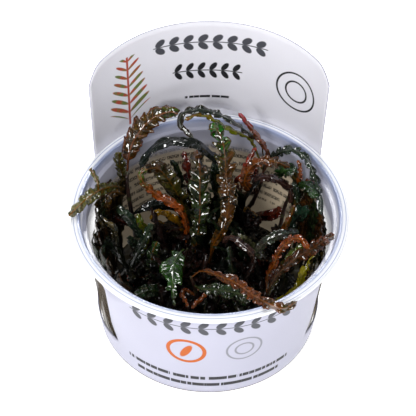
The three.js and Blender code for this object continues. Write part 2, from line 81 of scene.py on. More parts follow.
class Net:
    # One node tree, and the ways of adding to it
    def __init__(self, tree):
        self.tree = tree
        tree.nodes.clear()

    def add(self, kind, sockets=None, settings=None, out=0):
        node = self.tree.nodes.new(kind)
        for name, value in (settings or {}).items():
            setattr(node, name, value)
        for key, value in (sockets or {}).items():
            self.feed(node.inputs[key], value)
        return Value(self, node.outputs[out]) if len(node.outputs) else node

    def feed(self, socket, value):
        if isinstance(value, Value):
            self.tree.links.new(value.socket, socket)
            return
        if isinstance(value, str) and value.startswith("#"):
            value = colour(value)
        elif socket.type in ("VECTOR", "RGBA") and isinstance(value, (int, float)):
            value = [value] * len(socket.default_value)
        socket.default_value = value

    def work(self, operation, *values):
        isVector = any(isinstance(value, Value) and value.socket.type == "VECTOR" for value in values)
        kind = "ShaderNodeVectorMath" if isVector else "ShaderNodeMath"
        return self.add(kind, dict(enumerate(values)), {"operation": operation})

    def most(self, first, second):
        return self.work("MAXIMUM", first, second)

    def reach(self, x, y):
        return self.work("SQRT", x * x + y * y)

    def join(self, x=0.0, y=0.0, z=0.0):
        return self.add("ShaderNodeCombineXYZ", {0: x, 1: y, 2: z})

    def split(self, place):
        return self.add("ShaderNodeSeparateXYZ", {0: place})

    def spot(self):
        return self.add("ShaderNodeTexCoord")["Object"]

    def mix(self, factor, first, second):
        return self.add("ShaderNodeMix", {0: factor, 6: first, 7: second}, {"data_type": "RGBA"}, 2)

    def noise(self, place, scale, detail=2.0, seed=0.0):
        sockets = {"Vector": place, "W": seed, "Scale": scale, "Detail": detail}
        return self.add("ShaderNodeTexNoise", sockets, {"noise_dimensions": "4D"})


def colour(code):
    # A web colour as linear light
    parts = [int(code[i:i + 2], 16) / 255 for i in (1, 3, 5)]
    return [p / 12.92 if p < 0.04045 else ((p + 0.055) / 1.055) ** 2.4 for p in parts] + [1.0]


def material(name):
    finish = bpy.data.materials.new(name)
    finish.use_nodes = True
    return finish, Net(finish.node_tree)


def surface(net, sockets, bump=None, depth=0.0):
    if bump is not None:
        sockets["Normal"] = net.add("ShaderNodeBump", {"Height": bump, "Strength": 1.0, "Distance": depth})
    net.add("ShaderNodeOutputMaterial", {"Surface": net.add("ShaderNodeBsdfPrincipled", sockets)})


def geometryTree(name, sizes):
    # A Geometry Nodes tree that takes a path, named sizes and a finish; gives the net and its inputs
    tree = bpy.data.node_groups.new(name, "GeometryNodeTree")
    tree.interface.new_socket("Geometry", in_out="OUTPUT", socket_type="NodeSocketGeometry")
    tree.interface.new_socket("Path", in_out="INPUT", socket_type="NodeSocketGeometry")
    for label, value in sizes.items():
        kind = "NodeSocketInt" if isinstance(value, int) else "NodeSocketFloat"
        tree.interface.new_socket(label, in_out="INPUT", socket_type=kind).default_value = value
    tree.interface.new_socket("Finish", in_out="INPUT", socket_type="NodeSocketMaterial")
    net = Net(tree)
    return net, net.add("NodeGroupInput")


def endTree(net, geometry, finish):
    solid = net.add("GeometryNodeRealizeInstances", {"Geometry": geometry})
    solid = net.add("GeometryNodeSetShadeSmooth", {"Geometry": solid})
    solid = net.add("GeometryNodeSetMaterial", {"Geometry": solid, "Material": finish})
    net.add("NodeGroupOutput", {"Geometry": solid})


def smoothPath(net, path):
    curve = net.add("GeometryNodeMeshToCurve", {"Mesh": path})
    curve = net.add("GeometryNodeCurveSplineType", {"Curve": curve}, {"spline_type": "CATMULL_ROM"})
    return net.add("GeometryNodeSetSplineResolution", {"Geometry": curve, "Resolution": 16})


def marked(net, geometry, name, value, kind="FLOAT_VECTOR"):
    # Stores a value on the points under a name that a finish reads
    return net.add("GeometryNodeStoreNamedAttribute", {"Geometry": geometry, "Name": name, "Value": value},
                   {"data_type": kind, "domain": "POINT"})


def newPiece(name, data):
    piece = bpy.data.objects.new(name, data)
    bpy.context.scene.collection.objects.link(piece)
    return piece


def settle(piece, modifier):
    # Keeps what a modifier makes as a plain mesh
    seen = piece.evaluated_get(bpy.context.evaluated_depsgraph_get())
    mesh = bpy.data.meshes.new_from_object(seen)
    piece.modifiers.remove(modifier)
    piece.data = mesh


def grow(name, points, net, values):
    # Runs a tree over a path given in millimetres
    mesh = bpy.data.meshes.new(name)
    edges = [(i, i + 1) for i in range(len(points) - 1)]
    mesh.from_pydata([Vector(point) * mm for point in points], edges, [])
    piece = newPiece(name, mesh)
    modifier = piece.modifiers.new("grow", "NODES")
    modifier.node_group = net.tree
    for item in net.tree.interface.items_tree:
        if item.in_out == "INPUT" and item.name in values:
            modifier[item.identifier] = values[item.name]
    settle(piece, modifier)
    return piece


def place(piece, slot, *nodes):
    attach(piece, "root")
    if nodes:
        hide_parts(*nodes)


def meshPiece(name, points, faces, finish):
    mesh = bpy.data.meshes.new(name)
    mesh.from_pydata(points, [], faces)
    mesh.shade_smooth()
    mesh.materials.append(finish)
    return newPiece(name, mesh)


# Turned pieces

def arc(centreR, centreZ, radius, first, last, steps=5):
    # Points of an arc in a profile, from one angle to another in degrees
    points = []
    for i in range(steps + 1):
        angle = math.radians(first + (last - first) * i / steps)
        points.append((centreR + radius * math.cos(angle), centreZ + radius * math.sin(angle)))
    return points


def turned(name, profile, finish, segments=144, lift=None):
    # Turns a profile, from pole to pole in millimetres, about the cup's axis
    points = []
    faces = []
    rings = []
    for r, z in profile:
        if r < 1e-6:
            rings.append([len(points)])
            points.append(Vector((0, 0, z)) * mm)
            continue
        rings.append(range(len(points), len(points) + segments))
        for k in range(segments):
            turn = 2 * math.pi * k / segments
            rise = lift(r, z, turn) if lift else 0
            points.append(Vector((r * math.cos(turn), r * math.sin(turn), z + rise)) * mm)
    for low, high in zip(rings, rings[1:]):
        for k in range(segments):
            n = (k + 1) % segments
            if len(low) == 1:
                faces.append((low[0], high[n], high[k]))
            elif len(high) == 1:
                faces.append((low[k], low[n], high[0]))
            else:
                faces.append((low[k], low[n], high[n], high[k]))
    return meshPiece(name, points, faces, finish)


# Camera, lights and floor

camera = {
    "place": (-16.475, -399.591, 502.275),  # millimetres
    "turn": (41.900, -0.839, -1.331),       # degrees
    "lens": 144.8, "near": 0.01,
}


def makeCamera():
    data = bpy.data.cameras.new("camera")
    data.lens = camera["lens"]
    data.clip_start = camera["near"]
    view = newPiece("camera", data)
    view.location = Vector(camera["place"]) * mm
    view.rotation_euler = [math.radians(angle) for angle in camera["turn"]]
    bpy.context.scene.camera = view


studio = {
    # light from above, from low all round, and level, and the heights where they give way
    "sky": 0.06, "low": 0.24, "horizon": 1.1, "skyFade": (0.1, 0.5), "horizonFade": (0.03, 0.08),
    # name: place, power, size, and all aim at the middle of the cup's mouth, in millimetres
    "lamps": {
        "back": ((0, 480, 530), 2.0, 160),
        "overhead": ((-40, 40, 700), 1.6, 220),
        "frontLeft": ((-260, -480, 420), 2.4, 210),
        "right": ((480, -60, 360), 0.25, 60),
    },
    "aim": (0, 5, 45),
    "floorSize": 4000, "floorTint": "#f4f4f4", "white": "#ffffff", "floorGlow": 0.95,
}


def makeStudio():
    world = bpy.data.worlds.new("studio")
    world.use_nodes = True
    net = Net(world.node_tree)
    up = net.split(net.add("ShaderNodeTexCoord"))["Z"]
    strength = studio["low"] + (studio["sky"] - studio["low"]) * up.smooth(*studio["skyFade"])
    strength = strength + (studio["horizon"] - studio["low"]) * (1 - up.smooth(*studio["horizonFade"]))
    sky = net.add("ShaderNodeBackground", {"Color": studio["white"], "Strength": strength})
    net.add("ShaderNodeOutputWorld", {"Surface": sky})
    bpy.context.scene.world = world
    bpy.context.scene.view_settings.view_transform = "Standard"
    aim = Vector(studio["aim"]) * mm
    for name, (spot, power, size) in studio["lamps"].items():
        data = bpy.data.lights.new(name, "AREA")
        data.energy = power
        data.size = size * mm
        lamp = newPiece(name, data)
        lamp.location = Vector(spot) * mm
        lamp.rotation_euler = (aim - lamp.location).to_track_quat("-Z", "Y").to_euler()
    finish, net = material("floorWhite")
    surface(net, {"Base Color": studio["floorTint"], "Roughness": 0.9,
                  "Emission Color": studio["white"], "Emission Strength": studio["floorGlow"]})
    half = studio["floorSize"] / 2 * mm
    corners = [(-half, -half, 0), (half, -half, 0), (half, half, 0), (-half, half, 0)]
    meshPiece("floor", corners, [(0, 1, 2, 3)], finish)


# Cup

cup = {
    "rim": 50.0, "height": 55.0, "flange": 1.1, "bead": 0.7, "beadDrop": 1.6,
    "seat": 46.6, "seatFloor": 51.6, "ledge": 1.5,
    "base": 40.0, "wallTop": 45.2, "wall": 0.9, "floor": 1.2, "foot": 0.9,
    # tints from the gel up: wall, seat, the seat's lip, flange, and the darker line round the flange, which
    # is painted shade
    "wallTint": "#4c4236", "seatTint": "#a8aaba", "lipTint": "#a6b0d0", "flangeTint": "#f8faff",
    # glow is how strongly the seat and the flange glow: painted light, as they are no lamps
    "lineTint": "#8f9cc4", "line": 48.9, "lineHalf": 0.12, "glow": 0.14,
    "clear": 0.07, "edgeOn": 0.92, "seatMilk": 0.6, "flangeMilk": 0.9,
    # where one gives way to the next: heights, and distances from the axis
    "seatFade": (39.0, 46.5), "rimFade": (50.5, 51.5), "lipFade": (46.2, 46.6), "flangeFade": (47.2, 48.2),
}


def wallRadius(z):
    return cup["base"] + (cup["wallTop"] - cup["base"]) * z / (cup["seatFloor"] - cup["flange"])


def cupFinish():
    # Thin clear plastic: see-through face on, denser where it is seen edge on, and milky where it
    # thickens into the seat and the flange; the seat and the flange glow a little, which is painted
    # light, and a darker bluish line round the flange is painted shade
    finish, net = material("cupPlastic")
    spot = net.spot()
    parts = net.split(spot)
    height = parts["Z"] / mm
    radius = net.reach(parts["X"], parts["Y"]) / mm
    edge = net.add("ShaderNodeLayerWeight", {"Blend": 0.35})["Facing"]
    seat = height.smooth(*cup["seatFade"])
    top = height.smooth(*cup["rimFade"])
    lip = radius.smooth(*cup["lipFade"]) * top
    flange = radius.smooth(*cup["flangeFade"]) * top
    haze = cup["clear"] + seat * (cup["seatMilk"] - cup["clear"])
    haze = haze + lip * (cup["flangeMilk"] - cup["seatMilk"])
    clear = haze + (1 - haze) * cup["edgeOn"] * edge ** 2.2
    tint = net.mix(seat, cup["wallTint"], cup["seatTint"])
    tint = net.mix(lip, tint, cup["lipTint"])
    tint = net.mix(flange, tint, cup["flangeTint"])
    # painted shade: a darker bluish line round the flange
    line = softMask(abs(radius - cup["line"]) - cup["lineHalf"], 0.15) * flange
    tint = net.mix(line, tint, cup["lineTint"])
    # painted light: the seat, and the flange at 0.4, glow in their own tints
    lit = net.mix(seat * (1 - lip), "#000000", cup["seatTint"])
    surface(net, {"Base Color": tint, "Roughness": 0.1 + 0.08 * net.noise(spot, 60.0), "Alpha": clear,
                  "Specular IOR Level": 0.0, "Coat Weight": 0.05 + 0.5 * seat, "Coat Roughness": 0.05,
                  "Emission Color": net.mix(flange * 0.4, lit, cup["flangeTint"]),
                  "Emission Strength": cup["glow"]},
            bump=net.noise(spot, 140.0), depth=0.00006)
    return finish


def makeCup():
    rim, height, seat, foot = cup["rim"], cup["height"], cup["seat"], cup["foot"]
    shoulder = cup["seatFloor"] - cup["flange"]
    under = height - cup["flange"]
    inner = cup["wallTop"] - cup["wall"]
    floorR = wallRadius(cup["floor"]) - cup["wall"]
    profile = [(0, 0), (30, 0)]
    profile += arc(cup["base"] - foot, foot, foot, -90, 0)
    profile += [(wallRadius(15), 15), (wallRadius(30), 30), (cup["wallTop"], shoulder - 0.3)]
    profile += [(cup["wallTop"] + cup["ledge"], shoulder + 0.3), (seat + 0.7, under)]
    profile += [(rim - cup["bead"], under), (rim - cup["bead"], height - cup["beadDrop"])]
    profile += arc(rim - 0.3, height - cup["beadDrop"] + 0.3, 0.3, -90, 0)
    profile += arc(rim - 0.5, height - 0.5, 0.5, 0, 90)
    profile += [(rim - 1.4, height - 0.12), (rim - 1.9, height)]
    profile += arc(seat + 0.45, height - 0.45, 0.45, 90, 180)
    profile += [(seat - 0.55, cup["seatFloor"] + 0.35)]
    profile += arc(seat - 0.9, cup["seatFloor"] + 0.3, 0.3, 0, -90)
    profile += arc(inner + 0.4, cup["seatFloor"] - 0.4, 0.4, 90, 180)
    profile += [(wallRadius(z) - cup["wall"], z) for z in (36, 20)]
    profile += arc(floorR - foot, cup["floor"] + foot, foot, 0, -90)
    profile += [(20, cup["floor"]), (0, cup["floor"])]
    place(turned("cupBody", profile, cupFinish()), slotOf["cup"], "cup")


# Gel

gel = {
    "low": 1.5, "top": 7.5, "climb": 0.9, "space": 0.35, "round": 1.4, "ripple": 0.25, "still": 36,
    "clear": "#3e3826", "cloudy": "#1a1710",
}


def gelFinish():
    finish, net = material("gelCloudy")
    spot = net.spot()
    tint = net.mix(net.noise(spot, 90.0, 3.0).smooth(0.35, 0.65), gel["cloudy"], gel["clear"])
    surface(net, {"Base Color": tint, "Roughness": 0.3, "Specular IOR Level": 0.3,
                  "Transmission Weight": 0.03, "Coat Weight": 0.25, "Coat Roughness": 0.05},
            bump=net.noise(spot, 320.0, 3.0), depth=0.0009)
    return finish


def makeGel():
    side = cup["wall"] + gel["space"]
    rimZ = gel["top"] + gel["climb"]
    edge = wallRadius(rimZ) - side
    bend = gel["round"]

    def wobble(r, z, turn):
        if z < gel["top"] or r >= gel["still"]:
            return 0
        return gel["ripple"] * math.sin(3 * turn + r * 0.3) * math.sin(0.4 * r)

    profile = [(0, gel["low"]), (30, gel["low"])]
    profile += arc(cup["base"] - side - bend, gel["low"] + bend, bend, -90, -10)
    profile += [(edge, rimZ), (edge - 0.8, gel["top"] + 0.3), (edge - 2, gel["top"])]
    profile += [(r, gel["top"]) for r in range(34, 0, -2)] + [(0, gel["top"])]
    place(turned("gelBed", profile, gelFinish(), lift=wobble), slotOf["gel"], "gel")


# Card sleeve

sleeve = {
    "thickness": 0.5, "bottom": 1.4, "bandTop": 49.5,
    "front": (40.9, 46.3, 53.0),   # radius at the foot, radius at the top, height of the top
    "back": (41.3, 50.95, 54.0),
    "panelTopRadius": 52.5, "panelTop": 99.0, "panelHalf": 55.5, "blend": 20.0,
    "crown": 5.5, "shoulder": 5.0, "shoulderStart": 0.86,   # how far the panel's top falls to its sides
    "step": 1.5,                   # degrees between columns
    "rows": (4, 10, 3, 4, 18),     # below, at and above the windows, up to the rim, and in the panel
    # window edges: degrees from the front, height
    "windowLow": [(0, 16), (40, 16), (52.8, 12.6), (70, 9), (116.4, 9), (118, 10.4), (180, 10.4)],
    "windowHigh": [(0, 38), (40, 38), (52.8, 13.4), (56, 22), (56.2, 41.2), (57.3, 42.9), (60, 43.4),
                   (116.4, 43.4), (118, 42), (180, 42)],
    "windowCorners": [52.8, 56, 56.2, 56.7, 57.3, 58.5, 60, 70, 116.4, 117.2, 118],
    # the right window's front edge is turned by rightTurn, and from turnEnd on less and less
    "windowStart": 52.8, "windowEnd": 118, "rightTurn": 4.0, "turnEnd": 100,
    "paper": "#f0eff7", "band": "#bfbfd0", "ink": "#4a4b52", "black": "#222226", "orange": "#c05a00",
    # edge is the brown of the card's cut edge, darkened further with painted shade
    "edge": "#3a2c20", "grey": "#8c8d96", "brick": "#b4503c", "moss": "#6c7a3e", "inside": "#dccaae",
    # how strongly the inner face glows below the rim: painted light
    "innerGlow": 0.1,
    # heights: the cut lower edge, brown board darkened with painted shade; where the card glows with painted
    # light, standing in for light from behind; and from painted warm shade to plain paper
    "edgeFade": (1.65, 1.95), "throughFade": (40.0, 52.0), "warmFade": (44.0, 48.0),
}

# Places are millimetres round from the middle of the front, or of the back, and millimetres up
cardPrint = {
    "frontArc": 0.79, "backArc": 0.91,   # millimetres for a degree
    # chains of leaves: height, pitch, half size of a leaf, middle and half length of the chain
    "frontChain": (44.6, 6.2, (1.6, 2.0), (0.0, 31.0)),
    "highChain": (89.6, 5.4, (1.7, 1.8), (0.0, 21.6)), "highShift": 1,   # and its shift to the right
    "midChain": (76.0, 4.4, (1.2, 1.9), (0.0, 13.2)),
    # dashed lines: height, half thickness, middle and half length, seed
    "upperLine": (11.4, 1.0, (-1.0, 34.0), 1.0),
    "lowerLine": (7.0, 1.0, (-1.0, 30.0), 2.0),
    "panelLine": (63.0, 0.55, (0.0, 8.5), 5.0),
    # circles: centre, half thickness, radii
    "orangeCircle": ((-9.4, 29.0), 0.75, 6.8),
    "greyCircles": ((12.2, 29.5), 0.4, 6.6, 3.4),
    "panelCircles": ((35.5, 75.5), 0.38, 8.4, 4.6),
    "orangeLeaf": ((-9.4, 29.0), (1.7, 4.0), 0.4),   # centre, half size, lean
    "sprig": {"foot": (-31.5, 57.5), "height": 33.0, "pairs": 8, "slant": 0.75, "stalk": 0.45,
              "leaf": 11.5, "shorter": 7, "thick": 1.3, "thinner": 0.6},
    # rows of small marks: heights where they end, and how far round they reach, in degrees
    "small": {"pitch": 3.4, "thick": 0.8, "top": (45.0, 46.0), "foot": (18.0, 19.0), "half": 50,
              "density": 0.85},
}


def between(table, x):
    # Straight-line reading of a list of (x, y) points
    for (x0, y0), (x1, y1) in zip(table, table[1:]):
        if x <= x1:
            return y0 + (y1 - y0) * (x - x0) / (x1 - x0)
    return table[-1][1]


def smoothStep(low, high, value):
    t = min(1, max(0, (value - low) / (high - low)))
    return t * t * (3 - 2 * t)


def cardRadius(angle, z):
    low, high, span = sleeve["front"]
    front = low + (high - low) * z / span
    low, high, span = sleeve["back"]
    back = low + (high - low) * min(z, span) / span
    back += (sleeve["panelTopRadius"] - high) * max(0, z - span) / (sleeve["panelTop"] - span)
    edge = 180 - sleeve["panelHalf"]
    return front + (back - front) * smoothStep(edge - sleeve["blend"], edge, abs(angle))


def panelTop(fromBack):
    share = min(1, fromBack / sleeve["panelHalf"])
    corner = max(0, (share - sleeve["shoulderStart"]) / (1 - sleeve["shoulderStart"]))
    return sleeve["panelTop"] - sleeve["crown"] * share ** 3 - sleeve["shoulder"] * corner ** 2


def windowAngle(angle):
    turn, start, end = sleeve["rightTurn"], sleeve["turnEnd"], sleeve["windowEnd"]
    if angle <= 0:
        return -angle
    if angle < start:
        return max(0, angle - turn)
    return angle - turn * (end - angle) / (end - start) if angle < end else angle


def sleeveColumns():
    edge = 180 - sleeve["panelHalf"]
    corners = sleeve["windowCorners"]
    angles = [-a for a in corners]
    angles += [a + (sleeve["rightTurn"] if a < sleeve["turnEnd"] else 0) for a in corners]
    angles += [-edge, edge]
    count = round(360 / sleeve["step"])
    regular = [-180 + sleeve["step"] * i for i in range(count + 1)]
    angles += [a for a in regular if min(abs(a - b) for b in angles) > 0.6]
    return sorted(angles)


def makeSleeve():
    angles = sleeveColumns()
    edge = 180 - sleeve["panelHalf"] - 0.01

    def heights(angle):
        seen = windowAngle(angle)
        low, high = between(sleeve["windowLow"], seen), between(sleeve["windowHigh"], seen)
        top = panelTop(180 - abs(angle))
        stops = [sleeve["bottom"], low, high, sleeve["bandTop"], sleeve["back"][2], top]
        rows = []
        for z0, z1, count in zip(stops, stops[1:], sleeve["rows"]):
            rows += [z0 + (z1 - z0) * i / count for i in range(count)]
        return rows + stops[-1:]

    rows = {angle: heights(angle) for angle in angles}
    lowEnd = sleeve["rows"][0]
    highStart = lowEnd + sleeve["rows"][1]
    bandEnd = highStart + sleeve["rows"][2]
    points = []
    numberOf = {}

    def corner(angle, row):
        key = (-180.0 if angle == 180 else angle, row)
        if key not in numberOf:
            numberOf[key] = len(points)
            r = cardRadius(angle, rows[angle][row])
            turn = math.radians(angle)
            points.append(Vector((r * math.sin(turn), -r * math.cos(turn), rows[angle][row])) * mm)
        return numberOf[key]

    faces = []
    spots = []
    for start, end in zip(angles, angles[1:]):
        middle = (start + end) / 2
        isWindow = sleeve["windowStart"] < windowAngle(middle) < sleeve["windowEnd"]
        for row in range(len(rows[start]) - 1):
            if isWindow and lowEnd <= row < highStart or row >= bandEnd and abs(middle) < edge:
                continue
            corners = [(start, row), (end, row), (end, row + 1), (start, row + 1)]
            faces.append([corner(angle, r) for angle, r in corners])
            spots += [(angle / 360 + 0.5, rows[angle][r] / 100) for angle, r in corners]
    piece = meshPiece("cardSleeve", points, faces, outerPrint())
    piece.data.materials.append(innerPrint())
    layer = piece.data.uv_layers.new(name="card")
    for loop, spot in zip(layer.data, spots):
        loop.uv = spot
    thick = piece.modifiers.new("thickness", "SOLIDIFY")
    thick.thickness = sleeve["thickness"] * mm
    thick.offset = -1
    thick.material_offset = 1
    thick.material_offset_rim = 0
    place(piece, slotOf["sleeve"], "sleeve")


def cardPlace(net):
    # Degrees round from the front and millimetres up, read from the card's own map
    parts = net.split(net.add("ShaderNodeUVMap", {}, {"uv_map": "card"}))
    return (parts["X"] - 0.5) * 360, parts["Y"] * 100


def softMask(distance, softness=0.25):
    # 1 where a distance is below zero
    return 1 - distance.smooth(-softness, softness)


def blob(x, y, centre, size, lean=0.0):
    # An oval; lean shears it towards larger x as y grows
    dx = (x - centre[0] - lean * (y - centre[1])) / size[0]
    dy = (y - centre[1]) / size[1]
    return softMask(dx * dx + dy * dy - 1)


def circles(net, x, y, centre, width, *radii):
    distance = net.reach(x - centre[0], y - centre[1])
    first, *others = [softMask(abs(distance - radius) - width, 0.15) for radius in radii]
    for other in others:
        first = net.most(first, other)
    return first


def stretch(x, reach):
    # 1 along a stretch: its middle and half its length
    return softMask(abs(x - reach[0]) - reach[1], 0.3)


def cellPlace(net, value, pitch):
    # Distance from the middle of the cell that a value falls in
    return (net.work("FRACT", value / pitch) - 0.5) * pitch


def ruled(net, x, z, height, half, reach, seed):
    # A thin line broken into uneven dashes
    breaks = net.noise(net.join(x * 0.9, height), 1.0, 2.0, seed)
    return softMask(abs(z - height) - half, 0.2) * breaks.smooth(0.40, 0.44) * stretch(x, reach)


def leafChain(net, x, z, height, pitch, size, reach):
    # A stem line with a pair of leaning leaves at every pitch
    up = abs(z - height)
    leaf = blob(cellPlace(net, x, pitch), up, (0, size[1]), size, lean=0.45)
    return net.most(leaf, softMask(up - 0.22, 0.12)) * stretch(x, reach)


def paperFinish(name, base, draw, glow=0.0):
    finish, net = material(name)
    x, z = cardPlace(net)
    spot = net.spot()
    fibre = net.noise(spot, 1400.0, 3.0)
    plain = colour(base)
    paper = net.mix(net.noise(spot, 30.0).smooth(0.3, 0.7), plain, [c * 0.95 for c in plain[:3]] + [1.0])
    # the cut lower edge turns dark brown: the board's own cut edge, with painted shade under the card
    tint = net.mix(1 - z.smooth(*sleeve["edgeFade"]), draw(net, x, z, paper), sleeve["edge"])
    # painted light: below the rim the card glows, standing in for light that comes through the thin card
    # from behind
    lit = net.mix(1 - z.smooth(*sleeve["throughFade"]), "#000000", tint)
    surface(net, {"Base Color": tint, "Roughness": 0.42 + 0.12 * fibre, "Specular IOR Level": 0.2,
                  "Coat Weight": 0.07, "Coat Roughness": 0.25,
                  "Emission Color": lit, "Emission Strength": glow},
            bump=fibre, depth=0.00004)
    return finish


def outerPrint():
    def draw(net, x, z, paper):
        arcX = x * cardPrint["frontArc"]
        chain = leafChain(net, arcX, z, *cardPrint["frontChain"])
        lines = net.most(ruled(net, arcX, z, *cardPrint["upperLine"]),
                         ruled(net, arcX, z, *cardPrint["lowerLine"]))
        disc = net.most(circles(net, arcX, z, *cardPrint["orangeCircle"]),
                        blob(arcX, z, *cardPrint["orangeLeaf"]))
        tint = net.mix(chain, paper, sleeve["ink"])
        tint = net.mix(lines, tint, sleeve["black"])
        tint = net.mix(disc, tint, sleeve["orange"])
        return net.mix(circles(net, arcX, z, *cardPrint["greyCircles"]), tint, sleeve["grey"])
    return paperFinish("cardOuter", sleeve["band"], draw)


def sprig(net, x, z):
    # A plain drawn sprig: a stem with slanting oval leaves that shorten upwards
    form = cardPrint["sprig"]
    height = form["height"]
    pitch = height / form["pairs"]
    dx = abs(x - form["foot"][0])
    up = z - form["foot"][1]
    share = up / height
    length = form["leaf"] - form["shorter"] * share
    slant = up - form["slant"] * dx
    along = (dx - length / 2) / (length / 2)
    across = cellPlace(net, slant, pitch) / (form["thick"] - form["thinner"] * share)
    leaves = softMask(along * along + across * across - 1, 0.35)
    inside = stretch(up, (height / 2, height / 2))
    near = softMask(dx - length, 0.3) * softMask(pitch * 0.6 - slant, 0.3) * inside
    return leaves * near, softMask(dx - form["stalk"], 0.2) * inside


def smallPrint(net, x, z, back):
    # Rows of small marks that hold no letters, below the rim on the card's inner side
    form = cardPrint["small"]
    row = net.work("FLOOR", z / form["pitch"])
    words = net.noise(net.join(x * 0.5, row * 7.3), 1.0, 1.0, 9.0)
    marks = net.noise(net.join(x * 2.2, z * 1.1), 1.0, 2.0, 4.0)
    small = softMask(abs(cellPlace(net, z, form["pitch"])) - form["thick"]) * words.smooth(0.40, 0.44)
    small = small * marks.smooth(0.40, 0.50) * (1 - z.smooth(*form["top"])) * z.smooth(*form["foot"])
    return small * softMask(abs(back) - form["half"], 1.0) * form["density"]


def innerPrint():
    def draw(net, x, z, paper):
        back = net.work("SIGN", x) * 180 - x    # degrees from the middle of the back, to the viewer's right
        arcX = back * cardPrint["backArc"]
        # painted shade: below the rim the inner face turns to the inside colour, a darker warm beige
        # standing in for shade and for warm light thrown back by the plants
        paintedWarmShade = net.mix(z.smooth(*sleeve["warmFade"]), sleeve["inside"], paper)
        chain = leafChain(net, arcX - cardPrint["highShift"], z, *cardPrint["highChain"])
        mid = leafChain(net, arcX, z, *cardPrint["midChain"])
        code = ruled(net, arcX, z, *cardPrint["panelLine"])
        badge = circles(net, arcX, z, *cardPrint["panelCircles"])
        leaves, stalk = sprig(net, arcX, z)
        patch = net.noise(net.join(arcX * 0.2, z * 0.2), 1.0, 1.0, 3.0)
        leafTint = net.mix(patch.smooth(0.42, 0.58), sleeve["brick"], sleeve["moss"])
        tint = net.mix(smallPrint(net, arcX, z, back), paintedWarmShade, sleeve["black"])
        tint = net.mix(chain, tint, sleeve["ink"])
        tint = net.mix(net.most(mid, net.most(code, badge)), tint, sleeve["black"])
        tint = net.mix(leaves, tint, leafTint)
        return net.mix(stalk, tint, sleeve["brick"])
    return paperFinish("cardInner", sleeve["paper"], draw, sleeve["innerGlow"])


# Leaves

leafLooks = {
    # look: colours at foot, middle and tip of the blade, rib, margin, blotches, and share of blotches
    "bronze": ("#74462a #6e522a #47702c #c98468 #93482a #3a2e1a", 0.55),
    "blackGreen": ("#4a2e1e #1c2a20 #34281a #47503c #5a3e22 #0e1410", 0.5),
    "lime": ("#5c5426 #86903a #b4703a #c9b060 #8e7a30 #54602a", 0.35),
    "pink": ("#44401f #80523e #c85c66 #b8786a #8a4a3e #4c3622", 0.4),
    "glossBlack": ("#0c100d #101813 #18261d #2a3228 #1c281f #060806", 0.4),
    "oliveFresh": ("#6a4022 #684426 #2f7c30 #a8744a #7a6438 #2e2412", 0.5),
    "ribbedGreen": ("#38341a #364620 #74503c #9c5a2c #4a4a26 #1a2412", 0.5),
    "darkGreen": ("#18220f #1e341b #264422 #48522f #223819 #0c150b", 0.4),
    "darkRibbed": ("#28321c #2f4826 #3a5a2c #a8622c #34502a #18240f", 0.4),
    "olive": ("#3c3a1c #55522a #4a2c1c #8a6438 #5c4426 #262a14", 0.45),
    "darkOlive": ("#2a2c18 #4c4a20 #5e5a26 #6a4a28 #4a3a1e #22240f", 0.4),
    "maroon": ("#2c1614 #4a2220 #7a3428 #7a3a30 #6a2a24 #1c0e0e", 0.4),
    "salmon": ("#a05638 #b0664a #4e7430 #cc8a6c #9a5438 #6a3c24", 0.35),
    "amber": ("#6a4a20 #a87830 #b08a40 #c8a058 #8a5c2a #5a4420", 0.3),
    "oliveRib": ("#46461e #66662c #a09a78 #b47036 #6a6a34 #3a3e1c", 0.35),
    "yellowBrown": ("#4e3c20 #785a28 #5c4a24 #a07040 #6e4624 #34280f", 0.5),
    "cream": ("#161c14 #1e2618 #8a7850 #3a3a26 #2c2c1c #0e120c", 0.4),
    "greyGreen": ("#1c261c #293c2e #3a4c38 #566048 #34442e #121a14", 0.35),
    "yellowGreen": ("#3c4218 #5a6424 #566c28 #8a7a3c #6a4e24 #2c3414", 0.4),
    "freshGreen": ("#2c4e1c #305a20 #2c4420 #6c7e4c #3c6628 #182e12", 0.45),
    "rust": ("#542e1a #8a4a24 #52491f #b4703c #94502a #40240f", 0.45),
    "paleGreen": ("#1e2a16 #2c4022 #3a4420 #5e6c42 #3c4c28 #121a0e", 0.4),
    "brownGrey": ("#4a3020 #6a3e26 #80483a #8a6248 #86482a #2c2416", 0.5),
    "maroonGrey": ("#4a2018 #3a4434 #46544a #5a5a4a #3c3a2c #201814", 0.4),
    "orange": ("#5a2c16 #a0502a #b85c30 #c07844 #a84a26 #4a2814", 0.4),
    "yellow": ("#7a7426 #a8a032 #b4a83c #bcae58 #a88c34 #706c22", 0.3),
    "darkRed": ("#2c1412 #5a2218 #6a2a1c #6a3426 #6a2c1c #200e0c", 0.4),
    "purple": ("#2c1c1a #46302c #5a4038 #6a5048 #523830 #1c1212", 0.4),
    "greyYellow": ("#4a4a34 #6a6c4a #8a8868 #8e8c6c #66603c #3a3c2a", 0.35),
    "crimson": ("#3c1a14 #6a2c20 #94402c #8a4434 #84382a #2c1410", 0.45),
    "green": ("#24381a #28481f #305628 #527040 #325028 #162812", 0.4),
    "teal": ("#1f2c22 #2a4434 #32503c #4a5e4c #2c4436 #142018", 0.35),
    "red": ("#5a2018 #a83a2c #b8442f #b05a44 #a83c2c #5a2a1c", 0.3),
    "wallOlive": ("#1c1a12 #403820 #54482a #6a5a38 #4a3820 #16140c", 0.45),
    "wallBrown": ("#1c140e #4a3220 #5e4028 #6a5038 #4a3020 #160e08", 0.45),
    "wallGreen": ("#161c12 #22321c #2c3c20 #4a4a2c #32301c #0e140a", 0.45),
    # the last four looks are near-black: painted shade of the cup's depth, given to the undergrowth's low
    # leaves
    "deep": ("#0d120c #11170f #0c1410 #2a1c12 #150f0a #060806", 0.5),
    "deepRed": ("#150a07 #23100c #2c140c #2a1610 #2c120c #0a0605", 0.5),
    "deepOlive": ("#12140a #1d1f0e #26260f #30240f #2c2410 #0a0c06", 0.5),
    "deepGreen": ("#141c12 #1c2c1c #22331c #3c3420 #2a2a18 #0c140c", 0.5),
}

